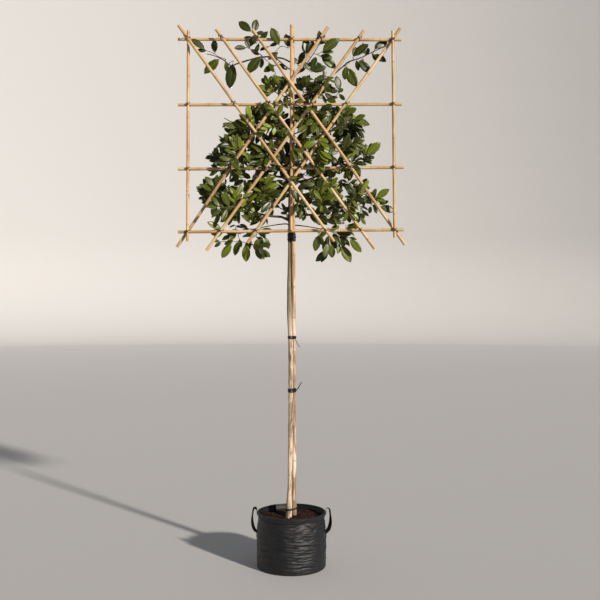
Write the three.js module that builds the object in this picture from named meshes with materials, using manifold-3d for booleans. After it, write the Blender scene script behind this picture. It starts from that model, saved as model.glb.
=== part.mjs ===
// A pleached standard evergreen in a grow bag, trained on a flat lattice of bamboo canes.
// Millimetres, +Z up. X runs along the lattice, Y from its front to its back.
// The origin lies under the middle of the bag, on the surface that it stands on.
import * as THREE from 'three';
import { mergeVertices } from 'three/addons/utils/BufferGeometryUtils.js';
import Module from 'manifold-3d';

const wasm = await Module();
wasm.setup();

// ---------------------------------------------------------------- driving dimensions

const GAP = 0.35;                  // clearance kept between neighbouring pieces
const WELD = 0.02;                 // edges shorter than this are closed up in a fused mass

const BAG_HEIGHT = 320;
const BAG_BASE_RADIUS = 201;
const BAG_BELLY_RADIUS = 204;
const BAG_NECK_RADIUS = 196;
const BAG_FABRIC = 2.6;
const HEM_DEPTH = 28;
const HEM_STEP = 1.6;              // how far the folded hem stands out from the wall
const SOIL_LEVEL = 292;
const BAG_SIDES = 28;

const WEB_WIDTH = 25;
const WEB_THICKNESS = 2.4;
const HANDLE_REACH = 231;          // how far out each handle loop stands
const HANDLE_TOP = 342;
const HANDLE_FOOT = 172;           // lowest stitching of the webbing

const CANE_RADIUS = 9;
const CANE_SIDES = 10;
const LAYER = 2 * CANE_RADIUS + 0.4;
const RAIL_Y = 0;
const UPRIGHT_Y = -LAYER;
const RISING_Y = -2 * LAYER;
const FALLING_Y = -3 * LAYER;
const BEHIND_Y = LAYER;            // where a bent cane passes behind the rails

// Rails from the lowest up: middle height, left end, right end, rise of the right end.
const RAILS = [
  { name: 'rail_1', height: 1953, left: -661, right: 654, rise: 13 },
  { name: 'rail_2', height: 2318, left: -661, right: 654, rise: 10 },
  { name: 'rail_3', height: 2689, left: -661, right: 642, rise: 3 },
  { name: 'rail_4', height: 3068, left: -661, right: 640, rise: -3 },
];

// Straight canes in the plane of the lattice: foot and top as [x, z].
const UPRIGHTS = [
  { name: 'upright_left', foot: [-603, 1892], top: [-598, 3116] },
  { name: 'upright_middle', foot: [-1.5, 1955], top: [1.5, 3149] },
  { name: 'upright_right', foot: [600, 1913], top: [589, 3114] },
];

// Diagonals. Those with a bend pass behind the rails beyond its second height.
const FALLING = [
  { name: 'falling_1', foot: [247, 1887], top: [-651, 3135] },
  { name: 'falling_2', foot: [481, 1845], top: [-434, 3111] },
  { name: 'falling_3', foot: [664, 1874], top: [-224, 3109], bend: [2430, 2010] },
];
const RISING = [
  { name: 'rising_1', foot: [-671, 1859], top: [212, 3129], bend: [2280, 2010] },
  { name: 'rising_2', foot: [-492, 1835], top: [420, 3109] },
  { name: 'rising_3', foot: [-254, 1880], top: [636, 3139], bend: [2720, 3010] },
];

// The support cane stands in the soil, and its front runs down the backs of the rails.
const SUPPORT_FOOT_X = 17;
const SUPPORT_TOP_X = 6.5;
const SUPPORT_FOOT_RADIUS = 12.6;
const SUPPORT_TOP_RADIUS = 9.5;
const SUPPORT_TOP = 3150;
const SUPPORT_FRONT_Y = RAIL_Y + CANE_RADIUS + 0.4;

// The trunk's line from the soil to the leader's tip, with its radius.
const TRUNK = [
  { z: 292.35, x: -18, y: 15, radius: 20 },
  { z: 330, x: -12.5, y: 12, radius: 15.4 },
  { z: 420, x: -9, y: 7, radius: 14 },
  { z: 600, x: -7, y: 4, radius: 13.8 },
  { z: 850, x: -5, y: 2, radius: 13.8 },
  { z: 1023, x: -4.5, y: 1.5, radius: 13.7 },
  { z: 1332, x: -5.5, y: 2, radius: 13.6 },
  { z: 1490, x: -13.5, y: 16, radius: 13.6 },
  { z: 1630, x: -12.8, y: 30, radius: 13.4 },
  { z: 1850, x: -7.5, y: 37, radius: 13 },
  { z: 2050, x: -8, y: 39, radius: 12.3 },
  { z: 2400, x: -4, y: 40, radius: 10.3 },
  { z: 2700, x: 3, y: 40, radius: 7.5 },
  { z: 2955, x: 13, y: 41, radius: 4.2 },
];
const TRUNK_SIDES = 10;
const TRUNK_STEPS = 18;

const SLANT_DROP = 6;              // how far the low side of a slanting tie lies under its middle

// Ties round the trunk and the support cane: middle height, height of the band, thickness,
// how far the loose end runs out and rises, and the slant of a band that isn't level.
const TIES = [
  { name: 'tie_base', height: 330, band: 9, thickness: 2.5, slant: 0.16 },
  { name: 'tie_lower', height: 1023, band: 25, thickness: 2.5, tail: [36, 48] },
  { name: 'tie_upper', height: 1332, band: 18, thickness: 2.5, tail: [32, -56] },
  { name: 'tie_frame', height: 1917, band: 52, thickness: 3 },
];

// The crown's front and back.
const CROWN_FRONT = -118;
const CROWN_BACK = 188;
const CROWN_MIDDLE_Y = 44;

// Tiers of foliage from the lowest up. Reaches are measured from the middle of the lattice.
const CELL_GAP = 0.6;
const TIERS = [
  { name: 'skirt', bottom: 1772, top: 1996, left: 498, right: 428, columns: 1, tufts: [4, 1] },
  { name: 'low', bottom: 1996, top: 2262, left: 560, right: 590, columns: 2, tufts: [3, 2] },
  { name: 'middle', bottom: 2262, top: 2490, left: 512, right: 515, columns: 2, tufts: [3, 2] },
  { name: 'high', bottom: 2490, top: 2700, left: 440, right: 455, columns: 2, tufts: [3, 2] },
  { name: 'shoulder', bottom: 2700, top: 2862, left: 225, right: 300, columns: 1, tufts: [2, 2] },
];

// Sprays above the tiers, as [from x, to x] and [from z, to z].
const CREST = [
  { name: 'crest_left', x: [-318, 0], z: [2862, 3198], tufts: [2, 2] },
  { name: 'crest_right', x: [0, 282], z: [2862, 3172], tufts: [2, 2] },
  { name: 'arm_left', x: [-580, -318], z: [2790, 3074], tufts: [3, 1] },
  { name: 'arm_right', x: [300, 580], z: [2776, 3080], tufts: [2, 1] },
];

// Fewer leaves than the plant's own, and somewhat larger to fill the same crown.
const LEAF_LENGTH = 121;
const LEAF_WIDTH = 60;
const LEAF_THICKNESS = 2.4;
const LEAVES_PER_TWIG = 4;
const LEAF_SPREAD = 0.16;          // how far a leaf's size strays from the mean, as a share
const TWIG_RADIUS = 3;
const TWIG_TIP_RADIUS = 2;
const STEM_RADIUS = 4.4;
const SHORTEST_TWIG = 56;
const GOLDEN_ANGLE = 2.39996;       // between one leaf and the next round a twig
const FEWEST_LEAVES = 2;
const LEAF_TRIES = 14;
const TWIG_TRIES = 24;
const FIRST_SEED = 101;
const SEED_STEP = 17;

// Depths between which tufts stand in front of the stems, and behind them.
const FRONT_TUFTS = [-72, 20];
const BACK_TUFTS = [58, 142];
const LEAF_SPACING = 14;           // along the twig, from one leaf's root to the next

// ---------------------------------------------------------------- materials

const COLOURS = {
  bag: [0x3a3637, 0.85],
  webbing: [0x4a4647, 0.9],
  soil: [0x33271b, 1.0],
  bark: [0x9a8674, 0.85],
  twig: [0x4c3a2a, 0.85],
  cane: [0xe4c096, 0.5],
  tie: [0x17171a, 0.55],
  foliage: [0x466423, 0.45],
};

function finish(name) {
  const [color, roughness] = COLOURS[name];
  return new THREE.MeshStandardMaterial({ color, roughness, metalness: 0 });
}

// ---------------------------------------------------------------- helpers

const model = new THREE.Group();

function addPart(name, geometry, material) {
  const mesh = new THREE.Mesh(geometry, finish(material));
  mesh.name = name;
  model.add(mesh);
}

function lerp(from, to, share) {
  return from + (to - from) * share;
}

function seeded(seed) {
  let state = seed;
  return () => {
    state = (state + 0x6d2b79f5) | 0;
    let mixed = Math.imul(state ^ (state >>> 15), 1 | state);
    mixed = (mixed + Math.imul(mixed ^ (mixed >>> 7), 61 | mixed)) ^ mixed;
    return ((mixed ^ (mixed >>> 14)) >>> 0) / 4294967296;
  };
}

function welded(geometry) {
  const bare = geometry.clone();
  bare.deleteAttribute('normal');
  bare.deleteAttribute('uv');
  return mergeVertices(bare, 1e-4);
}

function toSolid(geometry) {
  const closed = welded(geometry);
  return new wasm.Manifold(new wasm.Mesh({
    numProp: 3,
    vertProperties: new Float32Array(closed.attributes.position.array),
    triVerts: new Uint32Array(closed.index.array),
  }));
}

function toGeometry(solid) {
  const mesh = solid.getMesh();
  const geometry = new THREE.BufferGeometry();
  geometry.setAttribute('position', new THREE.BufferAttribute(mesh.vertProperties, 3));
  geometry.setIndex(new THREE.BufferAttribute(mesh.triVerts, 1));
  return geometry;
}

// The largest body of a solid: inner shells and loose scraps are left out.
function largestBody(solid) {
  let largest = null;
  for (const body of solid.decompose()) {
    if (!largest || body.volume() > largest.volume()) {
      largest = body;
    }
  }
  return largest;
}

// A limb along a curve: a cylinder bent to it, with its radius at each share of its length.
function limb(curve, radiusAt, sides, steps) {
  const geometry = new THREE.CylinderGeometry(1, 1, 1, sides, steps);
  const frames = curve.computeFrenetFrames(steps);
  const position = geometry.attributes.position;
  const vertex = new THREE.Vector3();
  for (let index = 0; index < position.count; index += 1) {
    vertex.fromBufferAttribute(position, index);
    const share = vertex.y + 0.5;
    const step = Math.round(share * steps);
    const radius = radiusAt(share);
    const point = curve.getPointAt(step / steps);
    point.addScaledVector(frames.normals[step], vertex.z * radius);
    point.addScaledVector(frames.binormals[step], vertex.x * radius);
    position.setXYZ(index, point.x, point.y, point.z);
  }
  return geometry;
}

function straightLimb(from, to, fromRadius, toRadius, sides) {
  return limb(new THREE.LineCurve3(from, to), (share) => lerp(fromRadius, toRadius, share), sides, 1);
}

// ---------------------------------------------------------------- bag, soil and handles

function bagWall(height) {
  const share = height / BAG_HEIGHT;
  const belly = Math.sin(Math.PI * Math.min(share / 0.9, 1));
  const base = lerp(BAG_BASE_RADIUS, BAG_NECK_RADIUS, share);
  return base + belly * (BAG_BELLY_RADIUS - lerp(BAG_BASE_RADIUS, BAG_NECK_RADIUS, 0.45));
}

function profile(heights, offset) {
  return heights.map((height) => new THREE.Vector2(bagWall(height) + offset, height));
}

function lathe(points) {
  const geometry = new THREE.LatheGeometry(points, BAG_SIDES);
  geometry.rotateX(Math.PI / 2);
  return geometry;
}

function growBag() {
  const hemFoot = BAG_HEIGHT - HEM_DEPTH;
  const outside = profile([0, 70, 145, 220, hemFoot], 0);
  const hem = profile([hemFoot + 1, BAG_HEIGHT], HEM_STEP);
  const inside = profile([BAG_HEIGHT, hemFoot, 180, 80, BAG_FABRIC], -BAG_FABRIC);
  const axis = [new THREE.Vector2(0, 0)];
  const floor = [new THREE.Vector2(0, BAG_FABRIC)];
  return lathe([...axis, ...outside, ...hem, ...inside, ...floor]);
}

function soil() {
  const foot = BAG_FABRIC + GAP;
  const side = profile([foot, 80, 180, SOIL_LEVEL - 7], -BAG_FABRIC - 0.6);
  const crown = new THREE.Vector2(bagWall(SOIL_LEVEL) - 26, SOIL_LEVEL);
  return lathe([new THREE.Vector2(0, foot), ...side, crown, new THREE.Vector2(0, SOIL_LEVEL)]);
}

// One handle: webbing stitched to the wall at its foot and to the hem at its head.
function handle(side) {
  const skin = WEB_THICKNESS / 2 + 0.8;
  const path = new THREE.CatmullRomCurve3([
    new THREE.Vector3(bagWall(HANDLE_FOOT) + skin, 0, HANDLE_FOOT),
    new THREE.Vector3(bagWall(196) + skin, 0, 196),
    new THREE.Vector3(lerp(bagWall(215), HANDLE_REACH, 0.55), 0, 218),
    new THREE.Vector3(HANDLE_REACH, 0, 262),
    new THREE.Vector3(HANDLE_REACH - 2, 0, 308),
    new THREE.Vector3(lerp(bagWall(320), HANDLE_REACH, 0.55), 0, HANDLE_TOP - 3),
    new THREE.Vector3(bagWall(320) + HEM_STEP + skin + 2, 0, 331),
    new THREE.Vector3(bagWall(310) + HEM_STEP + skin, 0, 312),
    new THREE.Vector3(bagWall(297) + HEM_STEP + skin, 0, 297),
  ]);
  const section = new THREE.Shape();
  section.moveTo(-WEB_WIDTH / 2, -WEB_THICKNESS / 2);
  section.lineTo(WEB_WIDTH / 2, -WEB_THICKNESS / 2);
  section.lineTo(WEB_WIDTH / 2, WEB_THICKNESS / 2);
  section.lineTo(-WEB_WIDTH / 2, WEB_THICKNESS / 2);
  const web = new THREE.ExtrudeGeometry(section, { steps: 18, extrudePath: path, bevelEnabled: false });
  if (side < 0) {
    web.rotateZ(Math.PI);
  }
  return web;
}

// ---------------------------------------------------------------- canes

// A cane that may bend: it lies in its own layer, and passes behind the rails past the bend.
class CaneLine extends THREE.Curve {
  constructor(foot, top, layer, bend) {
    super();
    this.foot = foot;
    this.top = top;
    this.layer = layer;
    this.bend = bend;
  }

  getPoint(share) {
    const z = lerp(this.foot[1], this.top[1], share);
    const x = lerp(this.foot[0], this.top[0], share);
    if (!this.bend) {
      return new THREE.Vector3(x, this.layer, z);
    }
    const [start, end] = this.bend;
    const bent = THREE.MathUtils.clamp((z - start) / (end - start), 0, 1);
    const eased = bent * bent * (3 - 2 * bent);
    return new THREE.Vector3(x, lerp(this.layer, BEHIND_Y, eased), z);
  }
}

function supportRadius(height) {
  const share = (height - SOIL_LEVEL) / (SUPPORT_TOP - SOIL_LEVEL);
  return lerp(SUPPORT_FOOT_RADIUS, SUPPORT_TOP_RADIUS, share);
}

function supportAxis(height) {
  const share = (height - SOIL_LEVEL) / (SUPPORT_TOP - SOIL_LEVEL);
  const x = lerp(SUPPORT_FOOT_X, SUPPORT_TOP_X, share);
  return new THREE.Vector3(x, SUPPORT_FRONT_Y + supportRadius(height), height);
}

function supportCane(spare) {
  const foot = supportAxis(SOIL_LEVEL + GAP);
  const top = supportAxis(SUPPORT_TOP);
  return straightLimb(foot, top, SUPPORT_FOOT_RADIUS + spare, SUPPORT_TOP_RADIUS + spare, 12);
}

function latticeLines() {
  const lines = [];
  for (const rail of RAILS) {
    const foot = [rail.left, rail.height - rail.rise / 2];
    const top = [rail.right, rail.height + rail.rise / 2];
    lines.push({ name: rail.name, line: new CaneLine(foot, top, RAIL_Y), steps: 1 });
  }
  const layers = [[UPRIGHTS, UPRIGHT_Y], [RISING, RISING_Y], [FALLING, FALLING_Y]];
  for (const [canes, layer] of layers) {
    for (const cane of canes) {
      const line = new CaneLine(cane.foot, cane.top, layer, cane.bend);
      lines.push({ name: cane.name, line, steps: cane.bend ? 10 : 1 });
    }
  }
  return lines;
}

function cane(entry, spare) {
  return limb(entry.line, () => CANE_RADIUS + spare, CANE_SIDES, entry.steps);
}

// ---------------------------------------------------------------- trunk, ties and boughs

const trunkPoints = TRUNK.map((ring) => new THREE.Vector3(ring.x, ring.y, ring.z));
const trunkLine = new THREE.CatmullRomCurve3(trunkPoints);

function trunkRadius(height) {
  const upper = Math.max(TRUNK.findIndex((ring) => ring.z >= height), 1);
  const above = TRUNK[upper];
  const below = TRUNK[upper - 1];
  return lerp(below.radius, above.radius, (height - below.z) / (above.z - below.z));
}

function trunkCentre(height) {
  const steps = 400;
  const points = trunkLine.getPoints(steps);
  return points.find((point) => point.z >= height) ?? points[steps];
}

function trunk(spare) {
  const foot = TRUNK[0].z;
  const top = TRUNK[TRUNK.length - 1].z;
  const radiusAt = (share) => {
    const height = THREE.MathUtils.clamp(trunkLine.getPointAt(share).z, foot, top);
    return trunkRadius(height) + spare;
  };
  const geometry = limb(trunkLine, radiusAt, TRUNK_SIDES, TRUNK_STEPS);
  const position = geometry.attributes.position;
  const flare = 6;
  for (let index = 0; index < position.count; index += 1) {
    if (position.getZ(index) < foot + flare) {
      position.setZ(index, foot);
    }
  }
  return geometry;
}

// The outline of a belt drawn tight round two circles.
function beltOutline(first, firstRadius, second, secondRadius) {
  const apart = first.distanceTo(second);
  const facing = Math.atan2(second.y - first.y, second.x - first.x);
  const spread = Math.acos((firstRadius - secondRadius) / apart);
  const outline = new THREE.Shape();
  outline.absarc(first.x, first.y, firstRadius, facing + spread, facing - spread + 2 * Math.PI, false);
  outline.absarc(second.x, second.y, secondRadius, facing - spread, facing + spread, false);
  return outline;
}

// The loose end of a tie: a thin strap that leaves the belt beside the support cane.
function tieTail(tie, start) {
  const [reach, rise] = tie.tail;
  const along = (share, forward, lift) =>
    new THREE.Vector3(start.x + reach * share, start.y - forward, start.z + rise * lift);
  const path = new THREE.CatmullRomCurve3([start, along(0.36, 2, 0.2), along(0.66, 4, 0.62), along(1, 4, 1)]);
  return limb(path, (share) => lerp(2.1, 1.5, share), 5, 8);
}

// The round that a belt takes about a limb: the limb's own cut at that height.
function cutRound(space, height) {
  const bounds = space.slice(height).bounds();
  const centre = new THREE.Vector2((bounds.min[0] + bounds.max[0]) / 2, (bounds.min[1] + bounds.max[1]) / 2);
  return { centre, radius: Math.max(bounds.max[0] - bounds.min[0], bounds.max[1] - bounds.min[1]) / 2 };
}

function tieSolid(tie, trunkSpace, supportSpace) {
  const widest = tie.height - tie.band / 2 - (tie.slant ? SLANT_DROP : 0);
  const round = cutRound(trunkSpace, widest);
  const stem = round.centre;
  const stemRadius = round.radius + tie.thickness;
  const stake = supportAxis(tie.height);
  const stakeRadius = supportRadius(tie.height) + tie.thickness;
  const outline = beltOutline(stem, stemRadius, stake, stakeRadius);
  const settings = { depth: tie.band, bevelEnabled: false, curveSegments: 7 };
  const band = new THREE.ExtrudeGeometry(outline, settings);
  band.translate(0, 0, tie.height - tie.band / 2);
  if (tie.slant) {
    band.applyMatrix4(new THREE.Matrix4().set(1, 0, 0, 0, 0, 1, 0, 0, tie.slant, 0, 1, 0, 0, 0, 0, 1));
  }
  let solid = toSolid(band);
  if (tie.tail) {
    const start = new THREE.Vector3(stake.x + stakeRadius - 1.6, stake.y - 3, tie.height);
    solid = solid.add(toSolid(tieTail(tie, start)));
  }
  return largestBody(solid.subtract(trunkSpace).subtract(supportSpace));
}

// Each bough leaves the trunk at a height and ends on the side of its mass that faces the trunk.
function boughLine(bough) {
  const start = trunkCentre(bough.from);
  const side = Math.sign(bough.end.x);
  const middle = start.clone().lerp(bough.end, 0.5);
  middle.y += bough.bow;
  middle.z -= bough.sag;
  const leaving = start.clone();
  leaving.x += side * 34;
  leaving.y += 12;
  leaving.z += bough.lift;
  return new THREE.CatmullRomCurve3([start, leaving, middle, bough.end]);
}

function boughGeometry(bough, spare) {
  const radiusAt = (share) => lerp(bough.radius, bough.tipRadius, share) + spare;
  return limb(boughLine(bough), radiusAt, 5, 5);
}

// ---------------------------------------------------------------- foliage

function insideCell(geometry, cell) {
  geometry.computeBoundingBox();
  return cell.containsBox(geometry.boundingBox);
}

function leafGeometry(base, direction, upper, length, width) {
  const geometry = new THREE.OctahedronGeometry(1);
  geometry.scale(length / 2, width / 2, LEAF_THICKNESS / 2);
  geometry.translate(length / 2, 0, 0);
  const side = new THREE.Vector3().crossVectors(upper, direction).normalize();
  const face = new THREE.Vector3().crossVectors(direction, side);
  const frame = new THREE.Matrix4().makeBasis(direction, side, face);
  geometry.applyMatrix4(frame.setPosition(base));
  return geometry;
}

// Places where tufts are wanted: one in each block of the cell, strayed from its middle.
function tuftPlaces(cell, [columns, rows], random) {
  const size = cell.getSize(new THREE.Vector3());
  const places = [];
  for (let column = 0; column < columns; column += 1) {
    for (let row = 0; row < rows; row += 1) {
      const x = cell.min.x + (size.x * (column + lerp(0.3, 0.7, random()))) / columns;
      const z = cell.min.z + (size.z * (row + lerp(0.25, 0.75, random()))) / rows;
      const front = (column + row) % 2 === 0;
      const y = lerp(...(front ? FRONT_TUFTS : BACK_TUFTS), random());
      places.push(new THREE.Vector3(x, y, z));
    }
  }
  return places;
}

function nearest(nodes, place) {
  let best = nodes[0];
  for (const node of nodes) {
    if (node.distanceTo(place) < best.distanceTo(place)) {
      best = node;
    }
  }
  return best;
}

// Whether a solid meets any of the others; boxes that lie apart save the exact test.
function meetsAny(solid, box, others) {
  return others.some((other) => box.intersectsBox(other.box) && !solid.intersect(other.solid).isEmpty());
}

// Leaves stand along the end of a twig, each turned on from the last by the golden angle.
function twigLeaves(twig, mass, random, blocked, others) {
  const leaves = [];
  const { heading, end } = twig;
  const across = new THREE.Vector3().crossVectors(heading, new THREE.Vector3(0.1, 1, 0.2)).normalize();
  const turn = random() * 2 * Math.PI;
  for (let index = 0; index < LEAVES_PER_TWIG; index += 1) {
    for (let attempt = 0; attempt < LEAF_TRIES; attempt += 1) {
      const opening = lerp(index === 0 ? 0.1 : 0.6, 1.1, random());
      const spoke = across.clone().applyAxisAngle(heading, turn + (index + attempt * 0.37) * GOLDEN_ANGLE);
      const direction = heading.clone().multiplyScalar(Math.cos(opening));
      direction.addScaledVector(spoke, Math.sin(opening)).addScaledVector(mass.lean, 0.45).normalize();
      const outward = end.y < CROWN_MIDDLE_Y ? -1 : 1;
      const upper = new THREE.Vector3(random() - 0.5, outward * 0.8, lerp(-0.1, 0.7, random()));
      const size = 1 + LEAF_SPREAD * (2 * random() - 1);
      const base = end.clone().addScaledVector(heading, -2.5 - LEAF_SPACING * index);
      const leaf = leafGeometry(base, direction, upper, LEAF_LENGTH * size, LEAF_WIDTH * size);
      if (!insideCell(leaf, mass.cell)) {
        continue;
      }
      const solid = toSolid(leaf);
      const box = leaf.boundingBox;
      if (solid.intersect(blocked).isEmpty() && !meetsAny(solid, box, [...others, ...leaves])) {
        leaves.push({ solid, box });
        break;
      }
    }
  }
  return leaves;
}

function twigTowards(nodes, place) {
  const from = nearest(nodes, place);
  const heading = place.clone().sub(from);
  heading.setLength(Math.max(heading.length(), SHORTEST_TWIG));
  const end = from.clone().add(heading);
  heading.normalize();
  const root = from.clone().addScaledVector(heading, -1.2);
  const geometry = straightLimb(root, end, TWIG_RADIUS, TWIG_TIP_RADIUS, 3);
  return { from, end, heading, geometry };
}

// A mass grows from its stem towards its tuft places, and skips what meets a limb or a cane.
function growMass(mass, blocked) {
  const random = seeded(mass.seed);
  const stemLine = new THREE.CatmullRomCurve3(mass.stem);
  const stem = limb(stemLine, (share) => lerp(STEM_RADIUS, TWIG_RADIUS, share), 3, 5);
  stem.computeBoundingBox();
  const parts = [{ solid: toSolid(stem), box: stem.boundingBox }];
  const nodes = stemLine.getPoints(5).slice(2);
  const places = tuftPlaces(mass.cell, mass.tufts, random);
  const distance = (place) => nearest(nodes, place).distanceTo(place);
  places.sort((one, other) => distance(one) - distance(other));
  for (const wanted of places) {
    for (let attempt = 0; attempt < TWIG_TRIES; attempt += 1) {
      const stray = 7 * attempt;
      const place = wanted.clone();
      place.x += stray * (random() - 0.5);
      place.y += 2 * stray * (random() - 0.5);
      place.z += stray * (random() - 0.5);
      const twig = twigTowards(nodes, place);
      if (!insideCell(twig.geometry, mass.cell)) {
        continue;
      }
      const solid = toSolid(twig.geometry);
      if (!solid.intersect(blocked).isEmpty()) {
        continue;
      }
      const leaves = twigLeaves(twig, mass, random, blocked, parts);
      if (leaves.length < FEWEST_LEAVES) {
        continue;
      }
      parts.push({ solid, box: twig.geometry.boundingBox }, ...leaves);
      nodes.push(twig.end);
      break;
    }
  }
  return largestBody(wasm.Manifold.union(parts.map((part) => part.solid)));
}

// ---------------------------------------------------------------- layout of the crown

function cellBox(x, z) {
  const low = new THREE.Vector3(Math.min(...x) + CELL_GAP / 2, CROWN_FRONT, z[0] + CELL_GAP / 2);
  const high = new THREE.Vector3(Math.max(...x) - CELL_GAP / 2, CROWN_BACK, z[1] - CELL_GAP / 2);
  return new THREE.Box3(low, high);
}

// The cells of one tier: on each side an inner one, and an outer one where it has two columns.
function tierCells(tier) {
  const cells = [];
  for (const side of [-1, 1]) {
    const reach = side < 0 ? tier.left : tier.right;
    for (let column = 0; column < tier.columns; column += 1) {
      const x = [(side * reach * column) / tier.columns, (side * reach * (column + 1)) / tier.columns];
      const place = tier.columns === 1 ? '' : ['_inner', '_outer'][column];
      const name = `${tier.name}_${side < 0 ? 'left' : 'right'}${place}`;
      const box = cellBox(x, [tier.bottom, tier.top]);
      cells.push({ name, side, outer: column > 0, box, tufts: tier.tufts });
    }
  }
  return cells;
}

function crownCells() {
  const cells = TIERS.flatMap(tierCells);
  for (const spray of CREST) {
    const side = spray.name.endsWith('left') ? -1 : 1;
    const outer = spray.name.startsWith('arm');
    const box = cellBox(spray.x, spray.z);
    cells.push({ name: spray.name, side, outer, box, tufts: spray.tufts });
  }
  return cells;
}

// Heights on the trunk where each cell's bough or stem leaves it.
const LEAVES_TRUNK_AT = {
  skirt_left: 1984,
  skirt_right: 1976,
  low_left_inner: 2066,
  low_right_inner: 2092,
  low_left_outer: 2016,
  low_right_outer: 2030,
  middle_left_inner: 2318,
  middle_right_inner: 2350,
  middle_left_outer: 2236,
  middle_right_outer: 2200,
  high_left_inner: 2540,
  high_right_inner: 2522,
  high_left_outer: 2452,
  high_right_outer: 2424,
  shoulder_left: 2726,
  shoulder_right: 2708,
  crest_left: 2900,
  crest_right: 2872,
  arm_left: 2938,
  arm_right: 2664,
};

// A point of a cell, from its inner to its outer side and from its foot to its head.
function cellPoint(cell, outward, y, upward) {
  const { min, max } = cell.box;
  const x = cell.side < 0 ? lerp(max.x, min.x, outward) : lerp(min.x, max.x, outward);
  return new THREE.Vector3(x, y, lerp(min.z, max.z, upward));
}

// How far the middle of a bough hangs below the line between its ends. An arm arches instead.
const BOUGH_SAG = { arm_left: -48, arm_right: -4 };
const USUAL_SAG = 8;

function boughFor(cell) {
  const from = LEAVES_TRUNK_AT[cell.name];
  const arm = cell.name.startsWith('arm');
  const end = cellPoint(cell, 0.05, 62, arm ? 0.53 : 0.38);
  const sag = BOUGH_SAG[cell.name] ?? USUAL_SAG;
  return {
    name: `bough_${cell.name.replace('_outer', '')}`,
    from,
    end,
    lift: lerp(6, (end.z - from) * 0.4, 0.5) + Math.max(-sag - 4, 0) * 0.5,
    sag,
    bow: 14,
    radius: arm ? STEM_RADIUS + 0.4 : 8,
    tipRadius: STEM_RADIUS + 0.3,
  };
}

function stemFor(cell, bough) {
  if (bough) {
    const line = boughLine(bough);
    const heading = line.getTangentAt(1);
    const root = bough.end.clone().addScaledVector(heading, GAP);
    const leaving = root.clone().addScaledVector(heading, 26);
    return [root, leaving, cellPoint(cell, 0.55, 54, 0.5), cellPoint(cell, 0.8, 46, 0.62)];
  }
  const root = trunkCentre(LEAVES_TRUNK_AT[cell.name]);
  const hanging = cell.name.startsWith('skirt');
  // The highest stems pass in front of the boughs to the arms.
  const high = cell.name.startsWith('crest') || cell.name.startsWith('shoulder');
  const leaving = root.clone().add(new THREE.Vector3(cell.side * 36, high ? -9 : 14, 14));
  const reach = hanging ? cellPoint(cell, 0.7, 50, 0.72) : cellPoint(cell, 0.62, high ? 24 : 52, 0.66);
  const middle = leaving.clone().lerp(reach, 0.5);
  middle.z += hanging ? 8 : -10;
  return [root, leaving, middle, reach];
}

function leanFor(cell) {
  if (cell.name.startsWith('skirt')) {
    return new THREE.Vector3(cell.side * 0.3, 0, -1.6);
  }
  if (cell.name.startsWith('crest')) {
    return new THREE.Vector3(cell.side * 0.4, 0, 0.9);
  }
  return new THREE.Vector3(cell.side * 0.5, 0, 0.15);
}

// ---------------------------------------------------------------- assembly

addPart('grow_bag', growBag(), 'bag');
addPart('soil', soil(), 'soil');
addPart('handle_left', handle(-1), 'webbing');
addPart('handle_right', handle(1), 'webbing');
addPart('trunk', trunk(0), 'bark');
addPart('support_cane', supportCane(0), 'cane');

const trunkSpace = toSolid(trunk(GAP));
const supportSpace = toSolid(supportCane(GAP));
const taken = [trunkSpace, supportSpace];

for (const entry of latticeLines()) {
  addPart(entry.name, cane(entry, 0), 'cane');
  taken.push(toSolid(cane(entry, GAP)));
}

for (const tie of TIES) {
  const solid = tieSolid(tie, trunkSpace, supportSpace);
  addPart(tie.name, toGeometry(solid), 'tie');
  taken.push(solid);
}

const cells = crownCells();
for (const cell of cells.filter((entry) => entry.outer)) {
  cell.bough = boughFor(cell);
  const solid = largestBody(toSolid(boughGeometry(cell.bough, 0)).subtract(trunkSpace));
  addPart(cell.bough.name, toGeometry(solid), 'twig');
  taken.push(toSolid(boughGeometry(cell.bough, GAP)));
}

const blocked = wasm.Manifold.union(taken);
cells.forEach((cell, index) => {
  const mass = {
    cell: cell.box,
    stem: stemFor(cell, cell.bough),
    tufts: cell.tufts,
    lean: leanFor(cell),
    seed: FIRST_SEED + SEED_STEP * index,
  };
  const solid = largestBody(growMass(mass, blocked).subtract(trunkSpace).simplify(WELD));
  addPart(`foliage_${cell.name}`, toGeometry(solid), 'foliage');
});

export default model;
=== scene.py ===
"""A pleached evergreen, trained on a lattice of bamboo canes and standing in a grow bag.

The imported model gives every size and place. The classes below replace its plain solids with
finished pieces: the bag and its webbing, the soil, the stem with its boughs, the canes with
their lashings, the ties, and the crown of twigs and leaves. Lengths are in metres.
"""

import logging
import math
import random
from dataclasses import dataclass, field
from enum import Enum
from typing import Any, Iterable

import bmesh
import bpy
import numpy as np
from mathutils import Matrix, Quaternion, Vector, noise
from mathutils.bvhtree import BVHTree


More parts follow.
